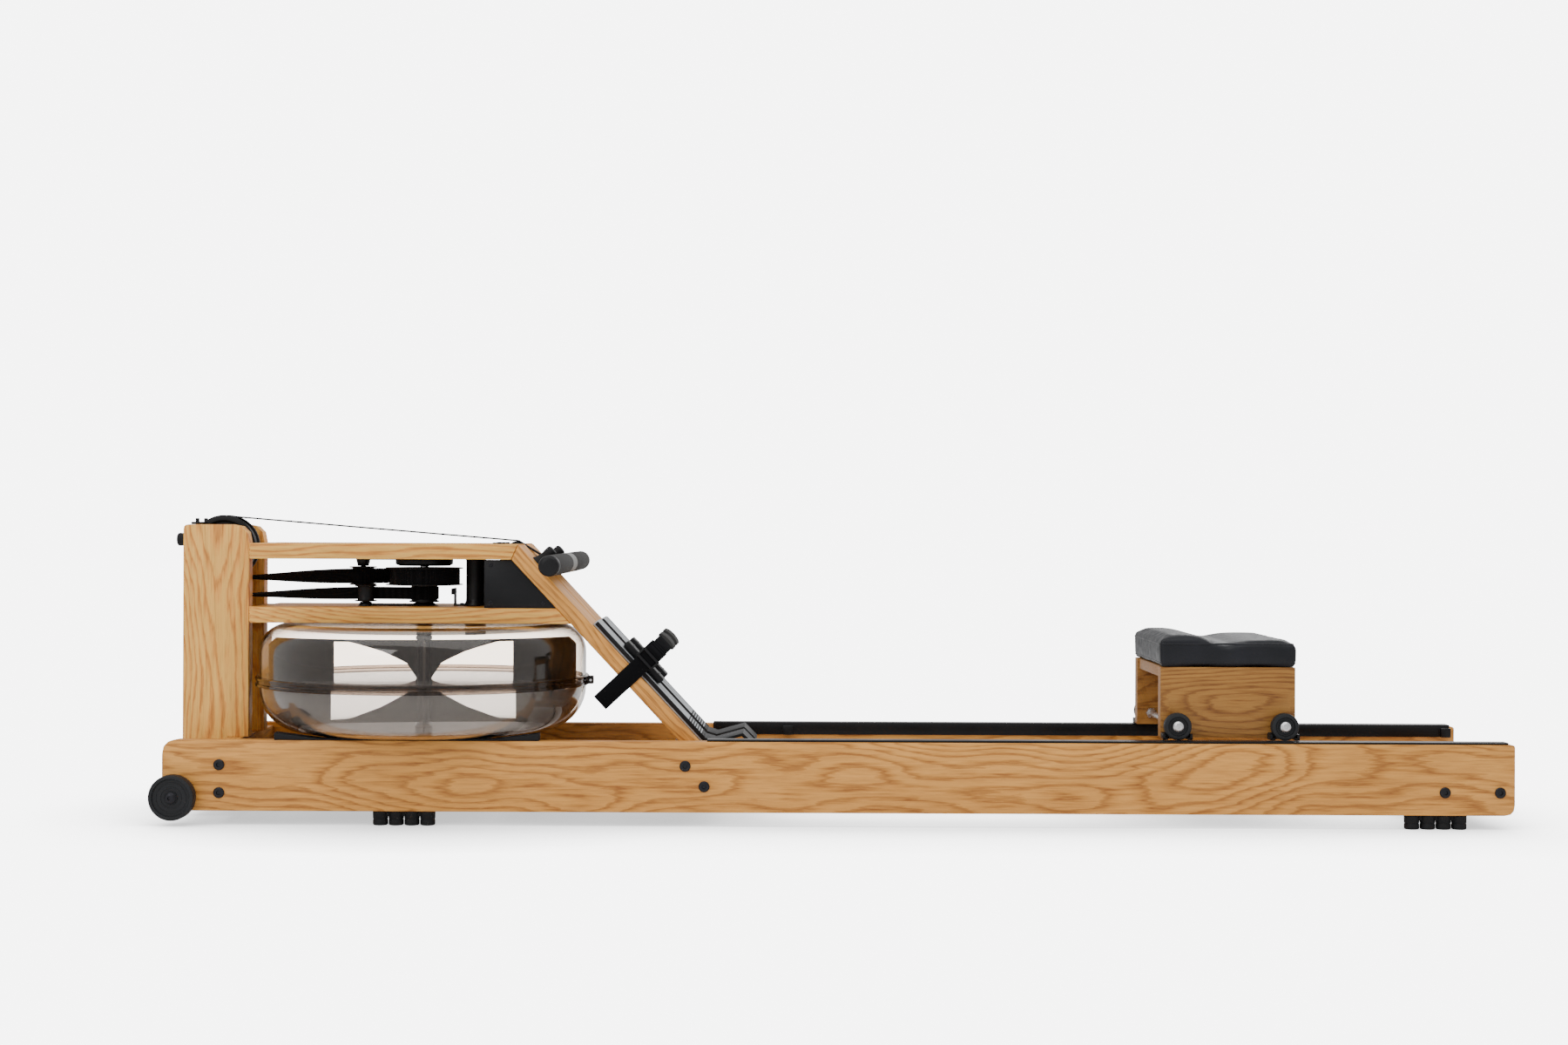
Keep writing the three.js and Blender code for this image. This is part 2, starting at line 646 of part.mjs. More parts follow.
// Pulleys that turn in the tower's posts on their own journals.
function pulley(radius, z) {
  const half = postInner - running;
  const grooveHalfWidth = strapWidth / 2 + running;
  const hub = half - 1;
  return turned([
    [0, -journalReach], [axleRadius, -journalReach], [axleRadius, -hub], [14, -hub], [14, -18], [radius, -18],
    [radius, -grooveHalfWidth], [radius - 3, -grooveHalfWidth], [radius - 3, grooveHalfWidth],
    [radius, grooveHalfWidth], [radius, 18], [14, 18], [14, hub], [axleRadius, hub],
    [axleRadius, journalReach], [0, journalReach],
  ], 'y', [frontPulleyX, 0, z], 16);
}
addPiece('front_pulley', pulley(frontPulleyRadius, frontPulleyZ), blackPlastic);
addPiece('recoil_pulley', pulley(recoilPulleyRadius, recoilPulleyZ), blackPlastic);

// Straps and recoil cord.

// A section of [across, up] points carried through stations of [centre point, direction across].
function sweep(stations, section) {
  const corners = [];
  const last = stations.length - 1;
  stations.forEach(([point, across], index) => {
    const ahead = stations[Math.min(index + 1, last)][0];
    const behind = stations[Math.max(index - 1, 0)][0];
    const tangent = new THREE.Vector3().subVectors(ahead, behind).normalize();
    const wide = across.clone().addScaledVector(tangent, -across.dot(tangent)).normalize();
    const up = new THREE.Vector3().crossVectors(tangent, wide);
    for (const [a, b] of section) {
      corners.push(point.clone().addScaledVector(wide, a).addScaledVector(up, b));
    }
  });
  const count = section.length;
  const faces = [];
  for (let station = 0; station < last; station += 1) {
    for (let side = 0; side < count; side += 1) {
      const a = station * count + side;
      const b = station * count + (side + 1) % count;
      faces.push(a, b, a + count, b, b + count, a + count);
    }
  }
  const end = last * count;
  for (let side = 1; side < count - 1; side += 1) {
    faces.push(0, side + 1, side, end, end + side, end + side + 1);
  }
  const geometry = new THREE.BufferGeometry().setFromPoints(corners);
  geometry.setIndex(faces);
  return geometry;
}

function ribbon(stations, width, thickness) {
  const [a, b] = [width / 2, thickness / 2];
  return sweep(stations, [[-a, -b], [a, -b], [a, b], [-a, b]]);
}

const acrossY = new THREE.Vector3(0, 1, 0);
const acrossZ = new THREE.Vector3(0, 0, 1);
const at = (x, y, z) => new THREE.Vector3(x, y, z);

// Stations around a horizontal-axis pulley, from one angle to another seen from the near side.
function aroundPulley(x, z, radius, from, to, steps) {
  return arc(0, 0, radius, from, to, steps).map(([dx, dz]) => [at(x + dx, 0, z + dz), acrossY]);
}

// Stations that leave a flat run across Y and arrive standing up along Z.
function quarterTwist(start, end, steps, turn) {
  return Array.from({ length: steps }, (_, index) => {
    const share = (index + 1) / steps;
    const angle = turn * halfPi * share;
    return [start.clone().lerp(end, share), at(0, Math.cos(angle), Math.sin(angle))];
  });
}

// Stations that pass a guide roller on one side and wind onto a drum on the other, standing on edge.
// The sign is +1 when the guide roller is on the right-hand side of the machine.
function ontoDrum([guideX, guideY], z, guideWrap, wrap, sign, turns) {
  const offset = tankX - guideX;
  const aside = Math.abs(guideY);
  const heading = Math.asin((guideWrap + wrap) / Math.hypot(offset, aside)) - Math.atan2(aside, offset);
  const station = (x, y) => [at(x, sign * y, z), acrossZ];
  const guideArc = arc(guideX, aside, guideWrap, -halfPi, heading - halfPi, 3);
  const drumArc = arc(tankX, 0, wrap, halfPi + heading, halfPi + heading - turns, 28);
  return [...guideArc, ...drumArc].map(([x, y]) => station(x, y));
}

const frontWrap = frontPulleyRadius - 3 + strapLift;
const rollerWrap = rollerRadius + strapLift;
const drumWrap = drumGroove + strapLift;
const climb = Math.atan2(frontPulleyZ + frontWrap - rollerZ - rollerWrap, rollerX - frontPulleyX);
const upperWrap = upperCore + strapLift;
const upperRun = ontoDrum(upperGuide, drumMiddle, upperWrap, drumWrap, 1, 4.4);
addPiece('drive_strap', ribbon([
  ...aroundPulley(rollerX, rollerZ, rollerWrap, halfPi - 0.35, halfPi + 0.05 - climb, 2),
  ...aroundPulley(frontPulleyX, frontPulleyZ, frontWrap, halfPi - climb, Math.PI * 1.5, 18),
  ...quarterTwist(at(frontPulleyX + 20, 0, frontPulleyZ - frontWrap), upperRun[0][0], 8, 1),
  ...upperRun.slice(1),
], strapWidth, strapThickness), webbing);

const lowerWrap = lowerCore + strapLift;
const lowerRun = ontoDrum(lowerGuide, recoilMiddle, lowerWrap, recoilCore + strapLift, -1, 4);
const recoilStrap = ribbon([
  [at(dropX, 0, recoilPulleyZ - 110), acrossY],
  ...aroundPulley(frontPulleyX, recoilPulleyZ, recoilWrap, Math.PI, halfPi, 9),
  ...quarterTwist(at(frontPulleyX + 20, 0, recoilPulleyZ + recoilWrap), lowerRun[0][0], 8, 1),
  ...lowerRun.slice(1),
], recoilStrapWidth, strapThickness);
const knotRadius = 7;
const anchorX = underSlope(cordZ + knotRadius) - (boardThickness + fit) / Math.sin(slopeAngle) - 3;
const cordRun = [
  [at(dropX, 0, recoilPulleyZ - 90), acrossY],
  ...aroundPulley(turnX, turnZ, cordWrap, Math.PI, Math.PI * 1.5, 8),
  [at(anchorX, 0, cordZ), acrossY],
];
const cordSection = arc(0, 0, cordRadius, 0, Math.PI * 1.75, 7);
const cord = sweep(cordRun, cordSection);
const knot = bar(knotRadius, 'x', [anchorX - 8, anchorX + 2], [0, 0, cordZ], 10);
addPiece('recoil_strap', join(recoilStrap, cord, knot), webbing);

// Strap roller, pegs and handle.

addPiece('strap_roller', turned([
  [0, -pinReach], [rollerPin, -pinReach], [rollerPin, -rollerHalf], [rollerRadius, -rollerHalf],
  [rollerRadius, rollerHalf], [rollerPin, rollerHalf], [rollerPin, pinReach], [0, pinReach],
], 'y', rollerPlace, 12), blackPlastic);
const handleAlong = 67;
const handleAbove = 27;
const [handleX, handleZ] = onSlope(handleAlong, handleAbove);
const pegAlong = handleAlong - handleRadius - pegRadius - 0.5;
const pegY = 68;
const pegs = sides.map(([, sign]) => layOnSlope(turned([
  [0, fit], [13, fit], [pegRadius, 10], [pegRadius, pegHeight - 3], [pegRadius - 3, pegHeight],
  [0, pegHeight],
], 'z', [0, sign * pegY, 0], 12), pegAlong, 0));
const pegBase = layOnSlope(block([-11, 11], [-pegY, pegY], [fit, fit + 2]), pegAlong, 0);
addPiece('handle_rest', join(pegBase, ...pegs), blackRubber);

const coreRadius = 10;
const bandHalf = 34;
const capLength = 24;
const gripStart = bandHalf + fit;
const handleHalf = handleLength / 2;
const gripEnd = handleHalf - capLength - fit;
const handlePlace = [handleX, 0, handleZ];
const core = turned([
  [0, -handleHalf], [handleRadius - 5, -handleHalf], [handleRadius, -handleHalf + 5],
  [handleRadius, capLength - handleHalf], [coreRadius, capLength - handleHalf], [coreRadius, -bandHalf],
  [handleRadius, -bandHalf], [handleRadius, bandHalf], [coreRadius, bandHalf],
  [coreRadius, handleHalf - capLength], [handleRadius, handleHalf - capLength],
  [handleRadius, handleHalf - 5], [handleRadius - 5, handleHalf], [0, handleHalf],
], 'y', handlePlace, 12);
const clipZ = handleZ + 3;
const clipFront = handleX - handleRadius - 6;
const clip = block([clipFront, handleX - coreRadius], [-strapWidth / 2 - 2, strapWidth / 2 + 2],
  [clipZ - 5, clipZ + 5]);
addPiece('handle_bar', join(core, clip), blackPlastic);
for (const [side, sign] of sides) {
  const [low, high] = span(sign * gripStart, sign * gripEnd);
  addPiece(`handle_grip_${side}`, ring([
    [coreRadius + fit, low], [handleRadius, low], [handleRadius, high], [coreRadius + fit, high],
  ], 'y', handlePlace, 12), foam);
}
const strapLeave = halfPi - 0.35 - 0.05;
const handleFall = Math.atan2(rollerZ + rollerWrap - clipZ, clipFront - rollerX);
const strapEnd = clipFront - fit - strapThickness / 2;
addPiece('handle_strap', ribbon([
  ...aroundPulley(rollerX, rollerZ, rollerWrap, strapLeave, halfPi - handleFall, 2),
  [at(strapEnd, 0, clipZ), acrossY],
], strapWidth, strapThickness), webbing);

// Foot plates and straps.

const plateCentreY = slotHalf + (deckHalf - slotHalf) / 2;
const plateStart = 172;
const plateEnd = plateStart + footPlateLength;
const plateGap = running;
const plateTop = plateGap + footPlateThickness;
const strapAlong = plateStart + 98;
const footTravel = 80;
const studHalf = 4;
const slotSide = studHalf - 1;
const holeCount = 5;
const holePitch = 18;
const heelRise = 12;
for (const [side, sign] of sides) {
  const yRange = span(sign * (plateCentreY - footPlateWidth / 2), sign * (plateCentreY + footPlateWidth / 2));
  const tongue = layOnSlope(block([plateStart, plateEnd], yRange, [plateGap, plateTop]), 0, 0);
  const slotRange = [strapAlong - studHalf - running, strapAlong + studHalf + running + footTravel];
  const middle = sign * plateCentreY;
  const slot = layOnSlope(block(slotRange, [middle - slotSide - running, middle + slotSide + running],
    [-1, plateTop + 1]), 0, 0);
  const holes = [-1, 1].flatMap((row) => Array.from({ length: holeCount }, (_, index) =>
    layOnSlope(bar(2.5, 'z', [-1, plateTop + 1], [0, middle + row * 24, 0], 8),
      plateStart + 10 + index * holePitch, 0)));
  const [hingeX, hingeZ] = onSlope(plateEnd, plateGap);
  const [topX, topZ] = onSlope(plateEnd - 6, plateTop);
  const heel = plateXZ([
    [hingeX, hingeZ], [hingeX + 22, hingeZ + 2], [hingeX + 60, hingeZ + heelRise], [hingeX + 78, hingeZ - 6],
    [hingeX + 82, hingeZ - 3], [hingeX + 62, hingeZ + heelRise + 5], [topX + 16, topZ - 5], [topX, topZ],
  ], yRange);
  addPiece(`foot_plate_${side}`, cut(join(tongue, heel), slot, ...holes), greyPlastic);
}

// Each foot strap is a webbing loop under a clamp block, with a tail outside the footboard.
const loopThickness = 3;
const clampLength = 85;
const clampHeight = 12;
for (const [side, sign] of sides) {
  const low = plateTop + plateGap;
  const high = low + footStrapRise;
  const inner = slotHalf + 4;
  const outer = deckHalf + fit + loopThickness;
  const webbingHalf = footStrapWidth / 2;
  const lengthwise = [-webbingHalf, webbingHalf];
  const loopOutline = [[inner, low], [outer, low], [outer, high, 26], [inner, high, 26]];
  const holeOutline = [
    [inner + loopThickness, low + loopThickness], [outer - loopThickness, low + loopThickness],
    [outer - loopThickness, high - loopThickness, 23], [inner + loopThickness, high - loopThickness, 23],
  ];
  const mirror = (points) => points.map(([y, z, radius]) => [sign * y, z, radius]);
  const loop = cut(plateYZ(mirror(loopOutline), lengthwise),
    plateYZ(mirror(holeOutline), [-webbingHalf - 1, webbingHalf + 1]));
  const tail = block(lengthwise, span(sign * (outer - loopThickness), sign * outer), [-75, low + 8]);
  const clamp = block([-clampLength / 2, clampLength / 2],
    span(sign * (plateCentreY - 17), sign * (plateCentreY + 17)), [low, low + clampHeight]);
  const middle = sign * plateCentreY;
  const stud = block([-studHalf, studHalf], [middle - slotSide, middle + slotSide], [fit, low + 2]);
  addPiece(`foot_strap_${side}`, layOnSlope(join(loop, tail, clamp, stud), strapAlong, 0), webbing);
}

// Seat.

const seatWheelZ = stripTop + fit + seatWheelRadius;
const carriageBottom = stripTop + 3;
const carriageWidth = frameWidth - carriageInset;
const seatWidth = frameWidth - seatInset;
const seatPlaceX = railRear - seatFromRear;
const carriageTop = carriageBottom + carriageHeight;
const cushionBottom = carriageTop + fit;
const cushionTop = cushionBottom + cushionThickness;
const sideOuter = carriageWidth / 2;
const sideInner = sideOuter - boardThickness;
const carriageRange = [seatPlaceX - carriageLength / 2, seatPlaceX + carriageLength / 2];
const seatWheelPlaces = [['front', -1], ['rear', 1]].map(
  ([end, sign]) => [end, seatPlaceX + 1 + sign * seatWheelbase / 2]);
const wheelInnerY = sideOuter + 12;
const wheelOuterY = wheelInnerY + seatWheelWidth;
const seatHalf = seatLength / 2;
const rearDrop = 7.5;
const dipDepth = 12;
const cushionOutline = [
  [seatPlaceX - seatHalf, cushionBottom, 4], [seatPlaceX + seatHalf, cushionBottom, 4],
  [seatPlaceX + seatHalf, cushionTop - rearDrop, 12], [seatPlaceX + 30, cushionTop - rearDrop, 20],
  [seatPlaceX - 8, cushionTop - dipDepth, 20], [seatPlaceX - 50, cushionTop, 20],
  [seatPlaceX - seatHalf, cushionTop, 12],
];
addPiece('seat_cushion', plateXZ(cushionOutline, [-seatWidth / 2, seatWidth / 2]), leather);

for (const [side, sign] of sides) {
  const panel = block(carriageRange, span(sign * sideInner, sign * sideOuter), [carriageBottom, carriageTop]);
  const holes = seatWheelPlaces.map(([, x]) => axleHole(x, seatWheelZ, sign));
  addPiece(`seat_side_${side}`, cut(panel, ...holes), oak);
}
const plateInset = 3;
const seatPlate = block([carriageRange[0] + plateInset, carriageRange[1] - plateInset],
  [-sideInner + fit, sideInner - fit], [carriageTop - 18, carriageTop]);
addPiece('seat_plate', seatPlate, oak);

// Each seat axle runs right across, with a spacer outside each side panel and capped ends.
for (const [end, x] of seatWheelPlaces) {
  const place = [x, 0, seatWheelZ];
  const rod = bar(axleRadius, 'y', [-wheelOuterY - 2, wheelOuterY + 2], place, 8);
  const collars = sides.flatMap(([, sign]) => [
    bar(8, 'y', span(sign * (sideOuter + fit), sign * (wheelInnerY - running)), place, 8),
    bar(8, 'y', span(sign * (wheelOuterY + running), sign * (wheelOuterY + 3)), place, 8),
    bar(9, 'y', span(sign * (sideInner - 8), sign * (sideInner - fit)), place, 6),
  ]);
  addPiece(`seat_axle_${end}`, join(rod, ...collars), steel);
}

// A wheel with a rounded tread and a recessed outer face.
function wheel(radius, bore, hub, recess, yRange, sign, x, z, segments) {
  const [near, beyond] = yRange;
  const profile = [
    [bore, near], [radius - 2, near], [radius, near + 2], [radius, beyond - 2], [radius - 2, beyond],
    [radius - 6, beyond], [radius - 6, beyond - recess], [hub, beyond - recess], [hub, beyond],
    [bore, beyond],
  ].map(([r, y]) => [r, sign * y]);
  return ring(sign > 0 ? profile : profile.reverse(), 'y', [x, 0, z], segments);
}
for (const [side, sign] of sides) {
  for (const [end, x] of seatWheelPlaces) {
    addPiece(`seat_wheel_${end}_${side}`, wheel(seatWheelRadius, axleRadius + 0.4, 10, 2,
      [wheelInnerY, wheelOuterY], sign, x, seatWheelZ, 14), blackRubber);
  }
}

// Transport wheels.

const transportInner = railOuter + 2;
const transportOuter = transportInner + wheelWidth;
const transportPlace = [transportX, 0, wheelCentreZ];
const transportAxle = bar(axleRadius, 'y', [-transportOuter - 2, transportOuter + 2], transportPlace);
const caps = sides.map(([, sign]) =>
  bar(9, 'y', span(sign * (transportOuter + running), sign * (transportOuter + 3)), transportPlace, 16));
addPiece('transport_axle', join(transportAxle, ...caps), blackSteel);
for (const [side, sign] of sides) {
  addPiece(`transport_wheel_${side}`, wheel(wheelRadius, axleRadius + 0.4, 12, 3,
    [transportInner, transportOuter], sign, transportX, wheelCentreZ, 16), blackRubber);
}

export default rower;
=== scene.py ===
import math
import bmesh
import bpy
from mathutils import Matrix, Vector
from mathutils.bvhtree import BVHTree


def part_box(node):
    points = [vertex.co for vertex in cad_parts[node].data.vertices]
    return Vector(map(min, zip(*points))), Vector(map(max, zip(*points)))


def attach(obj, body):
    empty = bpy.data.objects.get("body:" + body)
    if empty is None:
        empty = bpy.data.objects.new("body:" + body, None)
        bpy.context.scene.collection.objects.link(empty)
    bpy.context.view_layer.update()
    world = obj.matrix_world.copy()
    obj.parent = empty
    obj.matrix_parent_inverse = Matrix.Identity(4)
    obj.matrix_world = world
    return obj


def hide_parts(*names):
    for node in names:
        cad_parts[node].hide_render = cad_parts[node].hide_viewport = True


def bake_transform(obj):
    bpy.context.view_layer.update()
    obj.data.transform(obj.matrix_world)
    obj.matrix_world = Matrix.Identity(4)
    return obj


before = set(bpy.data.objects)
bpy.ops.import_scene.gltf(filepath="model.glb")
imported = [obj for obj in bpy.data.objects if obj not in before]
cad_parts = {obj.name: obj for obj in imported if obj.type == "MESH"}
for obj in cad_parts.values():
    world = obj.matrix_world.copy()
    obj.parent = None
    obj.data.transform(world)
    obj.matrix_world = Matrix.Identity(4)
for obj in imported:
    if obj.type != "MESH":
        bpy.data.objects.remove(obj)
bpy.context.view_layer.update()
print("frame loaded")


# measures taken from the frame

def lowHigh(node):
    low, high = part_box(node)
    return Vector(low), Vector(high)


def middleOf(node):
    low, high = lowHigh(node)
    return (low + high) / 2


def sizeOf(node):
    low, high = lowHigh(node)
    return high - low


mm = 0.001
heelReach = 84 * mm
sides = (("left", -1), ("right", 1))
slopeAngle = math.radians(47)
alongSlope = Vector((math.cos(slopeAngle), 0, -math.sin(slopeAngle)))
offSlope = Vector((math.sin(slopeAngle), 0, math.cos(slopeAngle)))
deckEnd = lowHigh("upper_deck")[1]
slopeTop = Vector((deckEnd.x + 0.3 * mm, 0, deckEnd.z))


def onSlope(along, above, y=0.0):
    return slopeTop + alongSlope * along + offSlope * above + Vector((0, y, 0))


slopeTurn = Matrix.Rotation(slopeAngle, 4, "Y")


# camera, light and floor

view = {
    "lens": 52.4,
    "place": (-0.0787, -3.687, 0.468),
    "yaw": math.radians(-0.018),
    "pitch": math.radians(0.026),
    "roll": math.radians(-0.24),
}


def makeCamera():
    data = bpy.data.cameras.new("camera")
    data.lens = view["lens"]
    data.sensor_width = 36
    data.clip_end = 50
    camera = bpy.data.objects.new("camera", data)
    bpy.context.collection.objects.link(camera)
    turn = Matrix.Rotation(view["yaw"], 4, "Z") @ Matrix.Rotation(math.radians(90) + view["pitch"], 4, "X")
    turn = turn @ Matrix.Rotation(-view["roll"], 4, "Z")
    camera.matrix_world = Matrix.Translation(view["place"]) @ turn
    bpy.context.scene.camera = camera


def areaLight(name, place, target, size, power):
    data = bpy.data.lights.new(name, "AREA")
    data.shape = "RECTANGLE"
    data.size, data.size_y = size
    data.energy = power
    lamp = bpy.data.objects.new(name, data)
    bpy.context.collection.objects.link(lamp)
    lamp.location = place
    lamp.rotation_euler = (Vector(target) - Vector(place)).to_track_quat("-Z", "Y").to_euler()


studio = {
    "seen": 6.6,
    "ambient": 0.86,
    "paper": 0.93,
    "contactReach": 0.3,
    "contactPower": 2.2,
    "shadowFloor": 0.12,
    "floorHalf": 12,
    "lamps": (("softTop", (-0.3, -0.9, 3.0), (0, 0, 0.2), (4.5, 2.5), 60),
              ("keyFront", (-2.2, -3.4, 2.2), (-0.2, 0, 0.25), (1.6, 1.6), 36),
              ("rimBack", (1.8, 2.6, 1.9), (0, 0, 0.3), (2.0, 1.2), 30)),
}


def seenDirectly(owner):
    # 1 for the camera's own rays and those that go on through clear parts, 0 after any bounce
    path = addNode(owner, "ShaderNodeLightPath")
    straight = calculate(owner, "MAXIMUM", path.outputs["Is Camera Ray"],
                         path.outputs["Is Transmission Ray"])
    bounces = calculate(owner, "ADD", path.outputs["Diffuse Depth"], path.outputs["Glossy Depth"])
    scattered = calculate(owner, "MINIMUM", bounces, 1.0)
    return calculate(owner, "MULTIPLY", straight, calculate(owner, "SUBTRACT", 1.0, scattered))


def floorPaper():
    # evenly bright where it is seen, with a soft shadow close to the object
    material = newMaterial("floorPaper")
    shader = setLook(material, (studio["paper"],) * 3, 1.0, **{"Specular IOR Level": 0.0})
    near = addNode(material, "ShaderNodeAmbientOcclusion", samples=12)
    near.inputs["Distance"].default_value = studio["contactReach"]
    contact = calculate(material, "POWER", near.outputs["AO"], studio["contactPower"])
    contact = calculate(material, "MULTIPLY", contact, 1 - studio["shadowFloor"])
    contact = calculate(material, "ADD", contact, studio["shadowFloor"])
    direct = seenDirectly(material)
    hidden = calculate(material, "SUBTRACT", 1.0, direct)
    glow = calculate(material, "MULTIPLY", calculate(material, "MULTIPLY", contact, direct), studio["seen"])
    base = addNode(material, "ShaderNodeCombineColor")
    for name in ("Red", "Green", "Blue"):
        wire(material, calculate(material, "MULTIPLY", hidden, studio["paper"]), base.inputs[name])
    wire(material, base.outputs["Color"], shader.inputs["Base Color"])
    shader.inputs["Emission Color"].default_value = (1, 1, 1, 1)
    wire(material, glow, shader.inputs["Emission Strength"])
    return material


def makeStudio():
    # the backdrop is brighter to the camera and through glass than the light it gives
    world = bpy.data.worlds.new("studio")
    world.use_nodes = True
    background = world.node_tree.nodes["Background"]
    background.inputs["Color"].default_value = (1, 1, 1, 1)
    seen = seenDirectly(world)
    strength = calculate(world, "ADD", calculate(world, "MULTIPLY", seen,
                                                 studio["seen"] - studio["ambient"]),
                         studio["ambient"])
    wire(world, strength, background.inputs["Strength"])
    bpy.context.scene.world = world
    for lamp in studio["lamps"]:
        areaLight(*lamp)
    bm = bmesh.new()
    bmesh.ops.create_grid(bm, x_segments=1, y_segments=1, size=studio["floorHalf"])
    data = bpy.data.meshes.new("floor")
    bm.to_mesh(data)
    bm.free()
    floor = bpy.data.objects.new("floor", data)
    bpy.context.collection.objects.link(floor)
    floor.data.materials.append(floorPaper())


# materials

def newMaterial(name):
    material = bpy.data.materials.new(name)
    material.use_nodes = True
    return material


def shaderOf(material):
    return material.node_tree.nodes["Principled BSDF"]


def setLook(material, colour, roughness, metallic=0.0, **more):
    shader = shaderOf(material)
    shader.inputs["Base Color"].default_value = (*colour, 1)
    shader.inputs["Roughness"].default_value = roughness
    shader.inputs["Metallic"].default_value = metallic
    for socket, value in more.items():
        shader.inputs[socket].default_value = value
    return shader


def addNode(material, kind, **values):
    node = material.node_tree.nodes.new(kind)
    for key, value in values.items():
        setattr(node, key, value)
    return node


def wire(material, source, target):
    material.node_tree.links.new(source, target)


def objectCoordinates(material, scale=(1, 1, 1), turn=(0, 0, 0), shift=(0, 0, 0)):
    coordinates = addNode(material, "ShaderNodeTexCoord")
    mapping = addNode(material, "ShaderNodeMapping")
    mapping.inputs["Scale"].default_value = scale
    mapping.inputs["Rotation"].default_value = turn
    mapping.inputs["Location"].default_value = shift
    wire(material, coordinates.outputs["Object"], mapping.inputs["Vector"])
    return mapping.outputs["Vector"]


def noise(material, vector, scale, detail=3.0, roughness=0.5):
    node = addNode(material, "ShaderNodeTexNoise")
    node.inputs["Scale"].default_value = scale
    node.inputs["Detail"].default_value = detail
    node.inputs["Roughness"].default_value = roughness
    wire(material, vector, node.inputs["Vector"])
    return node


def ramp(material, value, stops):
    node = addNode(material, "ShaderNodeValToRGB")
    elements = node.color_ramp.elements
    while len(elements) < len(stops):
        elements.new(0.5)
    for element, (position, colour) in zip(elements, stops):
        element.position = position
        element.color = (*colour, 1)
    wire(material, value, node.inputs["Fac"])
    return node.outputs["Color"]


def mixed(material, factor, first, second, blend="MIX"):
    node = addNode(material, "ShaderNodeMix", data_type="RGBA", blend_type=blend)
    for socket, value in (("Factor", factor), ("A", first), ("B", second)):
        isColour = socket != "Factor"
        target = [s for s in node.inputs if s.name == socket and (s.type == "RGBA") == isColour][0]
        if isinstance(value, (int, float)):
            target.default_value = value
        elif isinstance(value, tuple):
            target.default_value = (*value, 1)
        else:
            wire(material, value, target)
    return [s for s in node.outputs if s.type == "RGBA"][0]


def calculate(material, operation, first, second=0.0):
    node = addNode(material, "ShaderNodeMath", operation=operation)
    for socket, value in zip(node.inputs, (first, second)):
        if isinstance(value, (int, float)):
            socket.default_value = value
        else:
            wire(material, value, socket)
    return node.outputs[0]


def vectorMath(material, operation, first, second=None):
    node = addNode(material, "ShaderNodeVectorMath", operation=operation)
    wire(material, first, node.inputs[0])
    if isinstance(second, tuple):
        node.inputs[1].default_value = second
    elif second is not None:
        wire(material, second, node.inputs[1])
    return node.outputs["Value" if operation == "LENGTH" else "Vector"]


def scaledBy(material, vector, scale):
    node = addNode(material, "ShaderNodeMapping")
    node.inputs["Scale"].default_value = scale
    wire(material, vector, node.inputs["Vector"])
    return node.outputs["Vector"]


def varyRoughness(material, value, start, end, low, high):
    wire(material, ramp(material, value, [(start, (low,) * 3), (end, (high,) * 3)]),
         shaderOf(material).inputs["Roughness"])


def addBump(material, height, strength, distance):
    bump = addNode(material, "ShaderNodeBump")
    bump.inputs["Strength"].default_value = strength
    bump.inputs["Distance"].default_value = distance
    wire(material, height, bump.inputs["Height"])
    wire(material, bump.outputs["Normal"], shaderOf(material).inputs["Normal"])


oakTones = {
    "pale": (0.78, 0.375, 0.086),
    "middle": (0.60, 0.265, 0.052),
    "line": (0.33, 0.118, 0.020),
    "pore": (0.22, 0.075, 0.014),
    "ringSpacing": 1 / 0.0072,
    "sway": 0.15,
    "ragged": 0.0075,
    "swayStretch": (0.62, 1.6, 1.6),
    "streakStretch": (16, 230, 230),
    "fibreStretch": (14, 520, 520),
    "streakShare": 0.34,
    "poreShare": 0.38,
}


